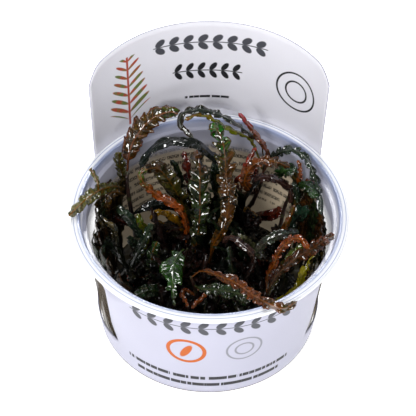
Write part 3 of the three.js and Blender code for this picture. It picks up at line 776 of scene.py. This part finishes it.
leafForm = {
    "petiole": 0.45, "petioleShare": 0.14, "lobeRate": 1.45, "sweep": 0.6,
    "blade": 0.10, "rib": 0.24, "ribReach": 0.36,
    "cup": -0.2, "cupDrift": 1.5, "wave": 0.34, "twist": 0.9, "lobeDrift": 0.7,
    "stagger": 1.8, "cutSharpness": 1.25, "tooth": 0.1, "rumple": 1.3, "pucker": 0.55,
    # how fine the noises are: bends of the blade, then its patches, cells and grain
    "rumpleScale": 330.0, "puckerScale": 950.0, "patchScale": 300.0, "cellScale": 800.0,
    "grainScale": 2200.0,
    "alongCount": 160, "roundCount": 31,
    "viewSide": (0.0, -0.67, 0.74),
    "shade": 0.6, "richness": 1.2,   # how much of the looks' lightness and colour is kept
    "wet": 0.9, "coat": 0.06, "coatIndex": 1.8, "relief": 0.0014,
}

# turn is that of foot and tip in degrees, peak where the blade is widest, taper how it narrows,
# and depth how far its lobes are cut; footDepth is the same near the foot
usualLeaf = {"turn": (0, 0), "peak": 0.55, "taper": 0.5, "depth": 0.5, "crinkle": 1.3}


def leafOf(look, width, lobes, *path, **special):
    return {**usualLeaf, "look": look, "width": width, "lobes": lobes, "path": path, **special}


leaves = {
    # look, half width, lobes, the path from foot to tip, and what differs from the usual leaf
    "leaf_01": leafOf("bronze", 4.0, 5, (-30, 28, 46), (-29.5, 30, 51), (-28.5, 32, 55),
        (-25.5, 34.5, 60.5), (-20, 37.5, 65), (-14, 38.5, 67), (-11, 37, 67), turn=(0, 20), peak=0.35,
        depth=0.25, crinkle=2.2),
    "leaf_02": leafOf("blackGreen", 1.7, 6, (22, 35, 42), (21, 36, 47), (20, 37, 52), (14, 36, 59.5),
        (6, 36, 66.5), (-3, 36, 70.5), (-9, 35, 69.5), (-10, 32, 66.5), (-5, 28, 63.5), turn=(40, 30),
        depth=0.4),
    "leaf_03": leafOf("lime", 1.1, 5, (21, 34, 40), (19, 37, 46), (17, 37, 52), (15, 37, 55), (7, 35, 62),
        (-2, 37, 67), (-9, 32, 69), turn=(20, 0), depth=0.5),
    "leaf_04": leafOf("pink", 1.2, 4, (21, 33, 39), (23, 32, 47), (21, 32, 55), (17, 34, 61), (14, 34, 66),
        (11, 36, 69)),
    "leaf_05": leafOf("glossBlack", 2.1, 3, (13, 33, 25), (9.5, 33, 36), (7, 31, 46), (1.5, 30.5, 52),
        (-3.5, 31, 57), (-9.5, 31, 59), (-15.5, 32, 58), (-20.5, 32, 54), (-24, 30.5, 49), (-25, 29.5, 46),
        turn=(30, 0), depth=0.12),
    "leaf_06": leafOf("oliveFresh", 4.0, 6, (0, 5, 16), (0.5, 5, 20), (2, 6.5, 29), (5.5, 8, 37),
        (7.5, 13, 42), (7, 21, 46), (6.5, 26, 52), (5.5, 29.5, 59), (3.5, 32.5, 63), (0, 31.5, 65),
        turn=(-20, 20), peak=0.63, depth=0.7, footDepth=0.2, crinkle=1.9),
    "leaf_07": leafOf("ribbedGreen", 4.4, 4.5, (-6, 14, 13), (-5, 11, 18), (-4, 12, 26), (-3, 17, 34),
        (-3, 22, 42), (-3, 27, 49), (-4, 34, 52), depth=0.6),
    "leaf_08": leafOf("darkGreen", 2.0, 1, (12, 34, 14), (6, 32, 22), (4, 32, 30), (3, 34, 37),
        (4, 37, 43), peak=0.65, depth=0.15),
    "leaf_09": leafOf("olive", 4.0, 5, (-6, 15, 14), (-6.5, 24, 16), (-7.5, 26.5, 23), (-11, 26, 35),
        (-15, 26.5, 44), (-19, 27, 49), (-23.5, 26, 49), turn=(20, -20)),
    "leaf_10": leafOf("darkGreen", 2.0, 4, (-6, 14, 11), (-8, 24, 13), (-9, 32, 19), (-10, 35, 30),
        (-11, 36, 38), (-14, 37, 43)),
    "leaf_11": leafOf("maroon", 2.0, 5, (-6, 15, 12), (-5, 24, 16), (-6, 31, 26), (-7, 34, 36),
        (-8, 36, 43), (-9, 39, 46), depth=0.75),
    "leaf_12": leafOf("salmon", 1.8, 5, (-6, 15, 15), (-8, 16, 20), (-8, 17, 28), (-11, 19, 36),
        (-18, 20, 41), (-23, 20, 47), (-25, 21, 52), (-22, 23, 53), turn=(30, 0), depth=0.4, crinkle=1.6),
    "leaf_13": leafOf("amber", 1.5, 4, (-6, 14, 8), (-9, 22, 13), (-9, 23, 18), (-12, 21.5, 26),
        (-17, 21, 31), (-20, 20, 31), (-22, 19, 29), turn=(20, 0), depth=0.3),
    "leaf_14": leafOf("oliveRib", 2.4, 5, (-31, 23, 42), (-33, 19.5, 47), (-35.5, 15, 52), (-40, 7.5, 58),
        (-45.5, 1, 59), (-50.5, -4, 57), depth=0.35),
    "leaf_15": leafOf("yellowBrown", 2.2, 3, (-31, 23, 39), (-33, 19.5, 44), (-36, 16.5, 47),
        (-37.5, 13.5, 46), (-38, 11.5, 42)),
    "leaf_16": leafOf("cream", 1.4, 3, (-29, 5, 12), (-31, 3, 22), (-34, 3, 32), (-35, 5, 40),
        (-38, 6, 43), (-41, 7, 46), depth=0.3),
    "leaf_17": leafOf("greyGreen", 2.5, 2, (-28, 20, 18), (-25, 15, 22), (-25, 14, 26), (-28, 14, 33),
        (-31, 15, 37), (-34, 18, 38), depth=0.2),
    "leaf_18": leafOf("greyGreen", 1.8, 3, (-30, 5, 14), (-33, 8, 20), (-36, 8.5, 26), (-38.5, 6.5, 31),
        (-39.5, 2.5, 33.5), (-39.5, -2, 34), depth=0.2),
    "leaf_19": leafOf("yellowGreen", 1.7, 1, (-29, 5, 14), (-25, 9, 22), (-23, 12, 30), (-25, 11, 36),
        (-26, 13, 40), depth=0.1),
    "leaf_20": leafOf("greyGreen", 1.9, 4, (-29, 5, 14), (-29, 4, 18), (-27, 4, 25), (-24, 5, 33),
        (-21, 7, 41)),
    "leaf_21": leafOf("darkRibbed", 2.5, 3, (-29, 5, 13), (-24, 2, 16), (-21, 2, 20), (-21, 3, 27),
        (-19, 4, 34)),
    "leaf_22": leafOf("freshGreen", 4.8, 1.3, (-9, -3.5, 38), (-10.5, -6.5, 40), (-12.5, -11, 41),
        (-13.5, -17, 42), (-13.5, -24.5, 42), (-13, -31.5, 40), peak=0.22, depth=0.75, taper=1.2),
    "leaf_23": leafOf("rust", 2.3, 6, (-7, -18, 39), (-4, -19, 44), (0, -22, 47), (8, -29, 50),
        (14, -38, 54), (19, -45, 58), (24, -47, 58), (29, -43, 57), turn=(30, 0), depth=0.4, crinkle=1.9),
    "leaf_24": leafOf("paleGreen", 2.6, 5, (-6, -17, 34), (-3, -22, 38), (3, -25, 41), (9, -29, 44),
        (14, -33, 45)),
    "leaf_25": leafOf("brownGrey", 2.4, 5, (21, -16, 27), (22, -16, 32), (25, -14, 37), (31, -13, 44),
        (36, -14, 50), (40, -16, 57), (44, -14, 58), depth=0.4, crinkle=1.9),
    "leaf_26": leafOf("maroonGrey", 2.2, 3, (23, 0, 26), (20, -5, 35), (18, -7, 41), (21, -6, 46),
        (27, -5, 48), (33, -2, 45), depth=0.2),
    "leaf_27": leafOf("orange", 1.7, 6, (21, -16, 26), (21, -13, 34), (23, -13, 40), (25, -12, 47),
        (29, -12, 53), (32, -14, 55), (35, -17, 53)),
    "leaf_28": leafOf("yellow", 1.8, 3, (21, -16, 22), (28, -18, 28), (32, -17, 33), (34, -16, 40),
        (38, -12, 44)),
    "leaf_29": leafOf("yellowGreen", 1.7, 3, (21, -16, 24), (24, -12, 30), (27, -10, 36), (30, -8, 41),
        (34, -6, 43)),
    "leaf_30": leafOf("darkRed", 2.2, 3, (23, 1, 18), (20, -1, 22), (19, 0, 28), (20, 2, 34)),
    "leaf_31": leafOf("purple", 1.6, 3, (23, 1, 14), (19, -4, 20), (17, -5, 28), (16, -4, 35),
        (12, -1, 38), (8, 2, 38), (5, 4, 33), turn=(20, 0), depth=0.3),
    "leaf_32": leafOf("greyYellow", 1.4, 3, (23, 1, 10), (20, 7, 12), (19, 9, 17), (17, 10, 24),
        (13, 9, 30), (8, 11, 30), depth=0.3),
    "leaf_33": leafOf("rust", 2.2, 6, (13, 33, 28), (16, 25, 38), (13.5, 21.5, 47), (15.5, 22, 54),
        (19.5, 22.5, 57), (25, 22, 57), (30.5, 24, 52), depth=0.55),
    "leaf_34": leafOf("purple", 1.8, 4, (13, 33, 26), (18, 28, 35), (18, 26, 42), (21, 24, 47),
        (26, 22, 47), (31, 23, 41), (31, 22, 34)),
    "leaf_35": leafOf("crimson", 2.6, 4, (13, 32, 31), (14, 32, 36), (15.5, 31, 41), (19, 31, 44)),
    "leaf_36": leafOf("greyGreen", 1.9, 6, (22, 35, 41), (23.5, 32, 47), (26.5, 30.5, 53), (31, 28, 57),
        (35.5, 24.5, 57), (38.5, 18, 55), (40.5, 11.5, 51), (41, 6, 45), peak=0.35, depth=0.75),
    "leaf_37": leafOf("orange", 0.9, 4, (33, 23, 42), (36, 21, 46), (37, 20, 49), (39, 17, 50),
        (39, 15, 46)),
    "leaf_38": leafOf("green", 3.0, 3, (33, 23, 42), (34, 24.5, 45), (32, 26.5, 47.5), (28.5, 28, 46),
        (26, 30, 40), depth=0.7),
    "leaf_39": leafOf("green", 2.2, 2, (33, 23, 42), (35, 19, 48), (37, 14, 52), (39, 8, 53)),
    "leaf_40": leafOf("teal", 2.8, 3, (28, 25, 18), (31, 18.5, 26), (34.5, 16, 35), (38.5, 13, 41)),
    "leaf_41": leafOf("rust", 1.3, 3, (27, 25, 13), (28, 13, 24), (28, 10, 31), (29, 10, 36), (31, 12, 40),
        (32, 15, 42)),
    "leaf_42": leafOf("darkRed", 2.6, 1, (15, 34, 12), (19, 33, 15), (25, 30, 19), (29, 28, 24),
        depth=0.1),
    "leaf_43": leafOf("glossBlack", 2.4, 2, (-30, 22, 27), (-27, 22, 30), (-22.5, 23, 32), (-15.5, 26, 30),
        (-8, 31, 24), depth=0.12),
    "leaf_44": leafOf("darkGreen", 2.8, 3, (-11, -5, 14), (-16, -9, 20), (-22, -13, 26), (-27, -17, 28)),
    "leaf_45": leafOf("darkGreen", 2.6, 3, (-5, -15, 12), (1, -15, 19), (8, -17, 25), (14, -20, 27)),
    "leaf_46": leafOf("glossBlack", 2.8, 3, (0, 3, 9), (5, -3, 16), (10, -8, 22), (13, -13, 24)),
}

sideLeaves = [
    leafOf("darkOlive", 2.2, 3, (-30, 24, 40), (-31.5, 26, 45), (-32.5, 26.5, 51), (-33, 27, 58),
        on="stem_1"),
    leafOf("greyGreen", 1.8, 1, (-28, 20, 14), (-25, 14, 19), (-28, 12, 24), (-30, 12, 28), on="stem_1"),
    leafOf("maroon", 1.8, 2, (-29, 21, 23), (-32, 19, 28), (-36, 18, 32), (-38, 16, 36), on="stem_1"),
    leafOf("amber", 1.3, 2, (-6, 13, 6), (-12, 21, 11), (-16, 24, 19), (-21, 24, 24), on="stem_2"),
    leafOf("red", 1.2, 5, (13, 32, 30), (11, 28, 40), (13, 25, 47), (14, 26, 51), (18, 30, 57),
        on="stem_4"),
    leafOf("amber", 1.3, 1, (12, 34, 19), (16, 29, 23), (18, 27, 22), (20, 26, 20), on="stem_4"),
    leafOf("orange", 1.0, 4, (33, 24, 41), (34, 22, 49), (34, 24, 52), (33, 26, 54), on="stem_5"),
    leafOf("greyGreen", 1.4, 2, (33, 24, 42), (32, 21, 46), (33, 20, 43), (34, 19, 38), on="stem_5"),
    leafOf("orange", 1.0, 3, (-5, -17, 28), (-9, -17, 31), (-10, -20, 32), (-8, -24, 30), on="stem_8"),
    leafOf("orange", 0.9, 2, (-5, -17, 31), (0, -18, 33), (-3, -23, 34), (-7, -26, 32), on="stem_8"),
    leafOf("maroon", 1.3, 3, (22, -15, 12), (21, -9, 17), (22, -7, 24), (25, -5, 28), on="stem_11"),
    leafOf("oliveRib", 1.2, 2, (-40, 8, 58), (-40, 8, 61), (-41, 10, 63), (-43, 13, 64), on="leaf_14"),
]

stems = {
    # radius, and the path from the gel up
    "stem_1": (1.1, [(-26, 19, 4), (-27, 20, 16), (-28.5, 22, 28), (-30, 24, 42), (-30, 27, 47)]),
    "stem_2": (1.3, [(-6, 13, 4), (-6, 14, 10), (-6, 15, 16)]),
    "stem_3": (1.0, [(14, 32, 4), (15, 34, 15), (18, 32, 25), (21, 33, 36), (22, 35, 43)]),
    "stem_4": (1.0, [(9, 30, 4), (12, 34, 15), (13, 33, 26), (13, 32, 32)]),
    "stem_5": (0.9, [(25, 23, 4), (28, 25, 16), (30, 26, 30), (33, 23, 43)]),
    "stem_6": (0.9, [(-11, -5, 4), (-11, -5, 16), (-9, -3, 30), (-8, -2, 37)]),
    "stem_7": (1.4, [(-27, 1, 4), (-29, 3, 10), (-30, 5, 15)]),
    "stem_8": (0.9, [(-5, -14, 4), (-5, -15, 16), (-5, -17, 30), (-7, -18, 40)]),
    "stem_9": (1.0, [(0, 2, 4), (0, 3, 11), (0, 5, 18)]),
    "stem_10": (0.9, [(24, 2, 4), (23, 1, 14), (23, 0, 27)]),
    "stem_11": (0.9, [(22, -14, 4), (22, -15, 16), (21, -16, 28)]),
}


def leafTree():
    form = leafForm
    net, inlet = geometryTree("pinnatifidLeaf", {
        "Half Width": 0.002, "Lobes": 5.0, "Peak": usualLeaf["peak"], "Taper": usualLeaf["taper"],
        "Foot Depth": usualLeaf["depth"], "Lobe Depth": usualLeaf["depth"], "Crinkle": usualLeaf["crinkle"],
        "Foot Turn": 0.0, "Tip Turn": 0.0, "Wave": form["wave"], "Cup": form["cup"], "Seed": 0.0,
    })
    seed = inlet["Seed"]
    curve = smoothPath(net, inlet["Path"])
    grid = net.add("GeometryNodeMeshGrid", {
        "Size X": 1.0, "Size Y": 1.0, "Vertices X": form["alongCount"], "Vertices Y": form["roundCount"]})
    flat = net.split(net.add("GeometryNodeInputPosition"))
    share = flat["X"] + 0.5
    loop = flat["Y"] + 0.5

    # Across the blade: -1 to 1 over the top face, then back over the under face
    straight = 1 - abs(4 * loop - 2)
    side = net.work("SIGN", straight)
    spread = abs(straight) ** 1.4
    face = net.work("SIGN", 0.5 - loop)

    # Frame along the midrib
    sample = net.add("GeometryNodeSampleCurve", {"Curves": curve, "Factor": share}, {"mode": "FACTOR"})
    spine = sample["Position"]
    tangent = net.work("NORMALIZE", sample["Tangent"])
    across = net.work("NORMALIZE", net.work("CROSS_PRODUCT", form["viewSide"], tangent))
    turn = inlet["Foot Turn"] * (1 - share) + inlet["Tip Turn"] * share
    drift = net.noise(net.join(share * 3), 1.0, 0.0, seed + 20)
    turn = turn + (drift - 0.5) * 2 * form["twist"] * share
    across = net.add("ShaderNodeVectorRotate", {"Vector": across, "Axis": tangent, "Angle": turn},
                     {"rotation_type": "AXIS_ANGLE"})
    normal = net.work("CROSS_PRODUCT", tangent, across)

    # Half width: a narrow petiole, then a blade that is widest at its peak
    petiole = form["petiole"] * mm
    blade = net.most((share - form["petioleShare"]) / (1 - form["petioleShare"]), 0.0)
    peak, taper = inlet["Peak"], inlet["Taper"]
    rise = peak * taper / (1 - peak)
    shape = blade ** rise * (1 - blade) ** taper
    shape = shape / (peak ** rise * (1 - peak) ** taper)
    ends = share.smooth(0.0, 0.02) * (1 - share.smooth(0.965, 1.0))
    half = (petiole + (inlet["Half Width"] - petiole) * shape) * ends

    # Lobes, out of step on the two sides, with a finer toothing
    stagger = net.noise(net.join(blade * 7, side), 1.0, 1.0, seed)
    phase = blade * inlet["Lobes"] + side * 0.14 + (stagger - 0.5) * form["stagger"]
    swell = abs(net.work("SINE", phase * math.pi))
    teeth = abs(net.work("SINE", phase * math.pi * 3 + spread))
    lobed = blade.smooth(0.0, 0.1) * (1 - blade.smooth(0.88, 1.0))
    depth = inlet["Foot Depth"] + (inlet["Lobe Depth"] - inlet["Foot Depth"]) * share.smooth(0.4, 0.8)
    cut = (depth * (1 - swell) ** form["cutSharpness"] + form["tooth"] * (1 - teeth) * swell) * lobed
    lengths = net.noise(net.join(phase * 0.7, side * 3), 1.0, 0.0, seed + 9)
    half = half * (1 - cut) * (1 + (lengths - 0.5) * form["lobeDrift"] * lobed)
    reach = spread * half
    base = spine + across * (side * reach)

    # Bends of the blade: drooping sides, lobes that wave, and a crinkle
    rumple = net.noise(base, form["rumpleScale"], 0.0, seed + 3) - 0.5
    pucker = net.noise(base, form["puckerScale"], 1.0, seed + 5) - 0.5
    bowl = net.noise(net.join(share * 4), 1.0, 1.0, seed + 30) - 0.5
    lift = half * ((inlet["Cup"] + bowl * form["cupDrift"]) * spread * spread)
    lift = lift + half * inlet["Wave"] * net.work("SINE", phase * 2 * math.pi + side) * spread ** 1.4
    crinkle = (rumple * form["rumple"] + pucker * form["pucker"]) * inlet["Crinkle"] * mm
    lift = lift + crinkle * spread ** 0.7 * blade.smooth(0.0, 0.2)
    ribShape = net.work("EXPONENT", -((reach / (form["ribReach"] * mm)) ** 2))
    thick = (form["blade"] * net.work("SQRT", 1 - abs(straight)) + form["rib"] * ribShape) * mm * ends
    forward = form["sweep"] * net.most(half - petiole, 0.0) * spread * (0.35 + 0.65 * swell)

    spot = base + normal * (lift + thick * face) + tangent * forward
    piece = marked(net, grid, "leafPlace", net.join(share, side * spread, reach / mm))
    piece = marked(net, piece, "lobePhase", phase, "FLOAT")
    piece = net.add("GeometryNodeSetPosition", {"Geometry": piece, "Position": spot})
    piece = net.add("GeometryNodeMergeByDistance", {"Geometry": piece, "Distance": 0.000004})
    endTree(net, piece, inlet["Finish"])
    return net


def leafFinish(look, wet):
    tones, share = leafLooks[look]
    foot, middle, tip, rib, margin, blotch = tones.split()
    finish, net = material("leaf." + look)
    parts = net.split(net.add("ShaderNodeAttribute", {}, {"attribute_name": "leafPlace"}, "Vector"))
    along, across, reach = parts["X"], abs(parts["Y"]), parts["Z"]
    phase = net.add("ShaderNodeAttribute", {}, {"attribute_name": "lobePhase"}, "Fac")
    spot = net.spot()
    patches = net.noise(spot, leafForm["patchScale"])
    cells = net.noise(spot, leafForm["cellScale"], 3.0, 2.0)
    grain = net.noise(spot, leafForm["grainScale"], 2.0, 4.0)
    drift = along + (patches - 0.5) * 0.7
    tint = net.mix(drift.smooth(0.1, 0.45), foot, middle)
    tint = net.mix(drift.smooth(0.66, 0.92), tint, tip)
    mottle = cells * 0.6 + patches * 0.4
    tint = net.mix(mottle.smooth(0.60 - 0.3 * share, 0.68 - 0.3 * share) * 0.9, tint, blotch)
    edge = (across + (cells - 0.5) * 0.7).smooth(0.7, 1.0)
    tint = net.mix(edge * 0.7, tint, margin)
    # a side vein runs out into each lobe, and the midrib down the middle
    vein = abs(net.work("FRACT", phase + 1000.0) - 0.5)
    vein = (1 - vein.smooth(0.01, 0.06)) * (1 - across.smooth(0.45, 0.85)) * 0.3
    midrib = (1 - reach.smooth(0.16, 0.36)) * cells.smooth(0.3, 0.5)
    tint = net.mix(net.most(vein, midrib * 0.55), tint, rib)
    tint = net.add("ShaderNodeHueSaturation", {
        "Saturation": leafForm["richness"], "Value": leafForm["shade"], "Color": tint})
    ridges = abs(net.work("FRACT", phase * 2 + across * 0.6 + 1000.0) - 0.5) * (1 - across * 0.5)
    height = patches * 0.6 + cells * 0.55 + grain * 0.2 + ridges * 0.5 - vein * 0.4
    surface(net, {"Base Color": tint, "Roughness": 0.35 + 0.3 * cells, "Specular IOR Level": 0.12,
                  "Coat Weight": wet, "Coat Roughness": leafForm["coat"], "Coat IOR": leafForm["coatIndex"]},
            bump=height, depth=leafForm["relief"])
    return finish


finishes = {}


def finishOf(look, wet=leafForm["wet"]):
    if look not in finishes:
        finishes[look] = leafFinish(look, wet)
    return finishes[look]


def makeLeaves():
    net = leafTree()
    lone = [(name, leaf, (name,)) for name, leaf in leaves.items()]
    fused = [("side_%02d" % (i + 1), leaf, ()) for i, leaf in enumerate(sideLeaves)]
    for number, (name, leaf, nodes) in enumerate(lone + fused):
        foot, tip = leaf["turn"]
        piece = grow(name.replace("leaf", "blade"), leaf["path"], net, {
            "Half Width": leaf["width"] * mm, "Lobes": leaf["lobes"] * leafForm["lobeRate"] + 0.5,
            "Lobe Depth": leaf["depth"], "Foot Depth": leaf.get("footDepth", leaf["depth"]),
            "Crinkle": leaf["crinkle"], "Taper": leaf["taper"], "Peak": leaf["peak"],
            "Foot Turn": math.radians(foot), "Tip Turn": math.radians(tip),
            "Seed": number * 1.7, "Finish": finishOf(leaf["look"]),
        })
        place(piece, slotOf[nodes[0] if nodes else leaf["on"]], *nodes)
    return net


# Stems

stemForm = {
    "sides": 18, "rings": 70, "taper": 0.35, "joints": 4.0, "swell": 0.24, "lumps": 0.35,
    "dark": "#1e1311", "green": "#3a4424", "usual": "#3c241c", "red": "#d8442e", "redStem": "stem_7",
}


def stemTree():
    net, inlet = geometryTree("stem", {"Radius": 0.001, "Joints": stemForm["joints"], "Seed": 0.0})
    curve = smoothPath(net, inlet["Path"])
    curve = net.add("GeometryNodeResampleCurve", {"Curve": curve, "Count": stemForm["rings"]})
    share = net.add("GeometryNodeSplineParameter", out="Factor")
    joint = net.most(net.work("COSINE", share * inlet["Joints"] * 2 * math.pi), 0.0) ** 10.0
    radius = inlet["Radius"] * (1 - stemForm["taper"] * share) * (1 + stemForm["swell"] * joint)
    radius = radius * (1 - share.smooth(0.97, 1.0) * 0.6)
    curve = marked(net, curve, "stemPlace", net.join(share, joint))
    ring = net.add("GeometryNodeCurvePrimitiveCircle", {"Resolution": stemForm["sides"], "Radius": 1.0})
    tube = net.add("GeometryNodeCurveToMesh", {
        "Curve": curve, "Profile Curve": ring, "Scale": radius, "Fill Caps": True})
    lump = net.noise(net.add("GeometryNodeInputPosition"), 500.0, 2.0, inlet["Seed"])
    push = net.add("GeometryNodeInputNormal") * ((lump - 0.5) * stemForm["lumps"] * mm)
    tube = net.add("GeometryNodeSetPosition", {"Geometry": tube, "Offset": push})
    endTree(net, tube, inlet["Finish"])
    return net


def stemFinish(name, lit):
    finish, net = material(name)
    marks = net.add("ShaderNodeAttribute", {}, {"attribute_name": "stemPlace"}, "Vector")
    streaks = net.noise(net.spot() * (1.0, 1.0, 0.25), 900.0, 3.0)
    tint = net.mix(streaks.smooth(0.35, 0.75), stemForm["dark"], lit)
    tint = net.mix(net.split(marks)["Y"] * 0.6, tint, stemForm["green"])
    surface(net, {"Base Color": tint, "Roughness": 0.28 + 0.2 * streaks, "IOR": 1.42,
                  "Coat Weight": 0.5, "Coat Roughness": 0.1}, bump=streaks, depth=0.0003)
    return finish


def makeStems():
    net = stemTree()
    dark = stemFinish("stemDark", stemForm["usual"])
    red = stemFinish("stemRed", stemForm["red"])
    for number, (name, (radius, path)) in enumerate(stems.items()):
        piece = grow(name.replace("stem", "stalk"), path, net, {
            "Radius": radius * mm, "Seed": number * 2.3,
            "Finish": red if name == stemForm["redStem"] else dark,
        })
        place(piece, slotOf[name], name)


# Undergrowth

lowLeaf = [(0, 0, 0), (0, 0.6, 6), (0, 2.6, 12), (0, 5.6, 16.5), (0, 9.4, 18.5)]
wallLeaf = [(0, 0, 0), (0, -1.1, 10), (0, -2.3, 21), (0, -3.6, 32), (0, -4.2, 38)]

undergrowth = {
    "wet": 0.2, "keep": 0.06, "crinkle": 0.6, "sink": 0.8,
    "clearing": (-25, -10), "clearReach": 12, "low": 0.35,   # low leaves in front of the red stem
    "inward": (20.0, 28.0),   # between these distances from the axis leaves come to bow inwards
    "usual": dict(bearing=0, spread=180, inwards=0.0, peak=0.6),
    "beds": {
        # count, nearest and furthest from the axis, bearing and spread in degrees, least and
        # greatest size, lean, share that faces inwards; then the sample leaf, a young leaf on its
        # stalk, from the gel up
        # the near-black looks of these beds paint the shade deep in the cup
        "young": dict(count=120, reach=(0, 36), size=(0.6, 1.15), lean=30,
                      looks=("deep", "deepRed", "deepOlive"), width=2.8, lobes=3, seed=11, path=lowLeaf),
        "edge": dict(count=40, reach=(27, 36.8), size=(0.45, 0.8), lean=12, inwards=1.0,
                     looks=("deep", "deepOlive"), width=3.2, lobes=3, seed=131, path=lowLeaf),
        "tall": dict(count=26, reach=(4, 29), size=(0.6, 1.1), lean=14,
                     looks=("deepGreen", "deep", "deepRed"), width=2.0, lobes=6, seed=31,
                     path=[(0, 0, 0), (0.5, 0.8, 8), (1, 2.2, 17), (0.5, 5, 26), (0, 9, 32)]),
        "rear": dict(count=14, reach=(14, 31), bearing=72, spread=34, size=(0.8, 1.25), lean=12,
                     looks=("deep", "deepGreen"), width=1.7, lobes=5, seed=91,
                     path=[(0, 0, 0), (0.5, -0.6, 10), (1, -0.4, 20), (0.5, 1.6, 29), (0, 5, 35)]),
        "leftWall": dict(count=16, reach=(37.4, 38.2), bearing=182, spread=35, size=(0.85, 1.15), lean=3,
                         inwards=1.0, looks=("wallOlive", "wallBrown", "wallGreen"), width=3.4, lobes=4,
                         seed=51, peak=0.75, path=wallLeaf),
        "rightWall": dict(count=16, reach=(37.4, 38.2), bearing=-2, spread=35, size=(0.82, 1.12), lean=3,
                          inwards=1.0, looks=("wallOlive", "wallGreen", "wallBrown"), width=3.4, lobes=4,
                          seed=71, peak=0.75, path=wallLeaf),
    },
}


def scatterTree(sample):
    # Stands copies of a sample leaf on the gel in a ring or a part of one, each with its own turn,
    # lean and size
    net, inlet = geometryTree("scatter", {
        "Count": 60, "Near": 0.0, "Far": 0.03, "Bearing": 0.0, "Spread": math.pi, "Low": 0.6, "High": 1.1,
        "Lean": 0.3, "Inwards": 0.0, "Seed": 0})
    index = net.add("GeometryNodeInputIndex")

    def random(low, high, shift):
        sockets = {2: low, 3: high, "ID": index, "Seed": inlet["Seed"] + shift}
        return net.add("FunctionNodeRandomValue", sockets, {"data_type": "FLOAT"}, 1)

    turn = inlet["Bearing"] + inlet["Spread"] * random(-1.0, 1.0, 1)
    away = inlet["Near"] + (inlet["Far"] - inlet["Near"]) * net.work("SQRT", random(0.0, 1.0, 2))
    x = away * net.work("COSINE", turn)
    y = away * net.work("SINE", turn)
    dots = net.add("GeometryNodePoints", {"Count": inlet["Count"]})
    dots = net.add("GeometryNodeSetPosition", {
        "Geometry": dots, "Position": net.join(x, y, (gel["top"] - undergrowth["sink"]) * mm)})

    # a leaf bows towards its own +Y, so facing inwards is a quarter turn past its bearing
    loose = 1 - net.most((away / mm).smooth(*undergrowth["inward"]), inlet["Inwards"])
    facing = turn + math.pi / 2 + random(-math.pi, math.pi, 5) * loose
    sway = inlet["Lean"] * (1 + inlet["Inwards"])
    tilt = net.join(inlet["Lean"] * random(-1.0, 0.2, 3), sway * random(-1.0, 1.0, 4),
                    facing + random(-0.3, 0.3, 7))

    clearX, clearY = undergrowth["clearing"]
    gap = net.reach(x / mm - clearX, y / mm - clearY) / undergrowth["clearReach"]
    room = undergrowth["low"] + (1 - undergrowth["low"]) * gap.smooth(0.7, 1.0)
    size = random(0.0, 1.0, 6) * (inlet["High"] - inlet["Low"]) + inlet["Low"]
    shape = net.add("GeometryNodeObjectInfo", {"Object": sample}, out="Geometry")
    copies = net.add("GeometryNodeInstanceOnPoints", {
        "Points": dots, "Instance": shape, "Rotation": tilt, "Scale": size * room})
    endTree(net, copies, inlet["Finish"])
    return net


def slim(piece, keep):
    # Thins a mesh to a share of its faces, for a shape that is repeated
    fewer = piece.modifiers.new("slim", "DECIMATE")
    fewer.ratio = keep
    settle(piece, fewer)


def makeUndergrowth(net):
    for name, bed in undergrowth["beds"].items():
        bed = {**undergrowth["usual"], **bed}
        sample = grow("sample", bed["path"], net, {
            "Half Width": bed["width"] * mm, "Lobes": bed["lobes"] + 0.5, "Peak": bed["peak"],
            "Crinkle": undergrowth["crinkle"], "Seed": bed["seed"] * 0.4,
            "Finish": finishOf("deep", undergrowth["wet"])})
        slim(sample, undergrowth["keep"])
        scatter = scatterTree(sample)
        for number, look in enumerate(bed["looks"]):
            piece = grow("%s_%d" % (name, number + 1), [(0, 0, 0), (0, 0, 1)], scatter, {
                "Count": bed["count"], "Near": bed["reach"][0] * mm, "Far": bed["reach"][1] * mm,
                "Bearing": math.radians(bed["bearing"]), "Spread": math.radians(bed["spread"]),
                "Low": bed["size"][0], "High": bed["size"][1], "Lean": math.radians(bed["lean"]),
                "Inwards": bed["inwards"], "Seed": bed["seed"] + number * 20,
                "Finish": finishOf(look, undergrowth["wet"])})
            place(piece, "leaf_maroon" if "Red" in look else "leaf_dark")
        bpy.data.objects.remove(sample)


makeCamera()
makeStudio()
print("camera and studio set")
makeCup()
makeGel()
print("cup and gel made")
makeSleeve()
print("sleeve made")
makeStems()
leafNet = makeLeaves()
print("stems and leaves grown")
makeUndergrowth(leafNet)
print("undergrowth spread")
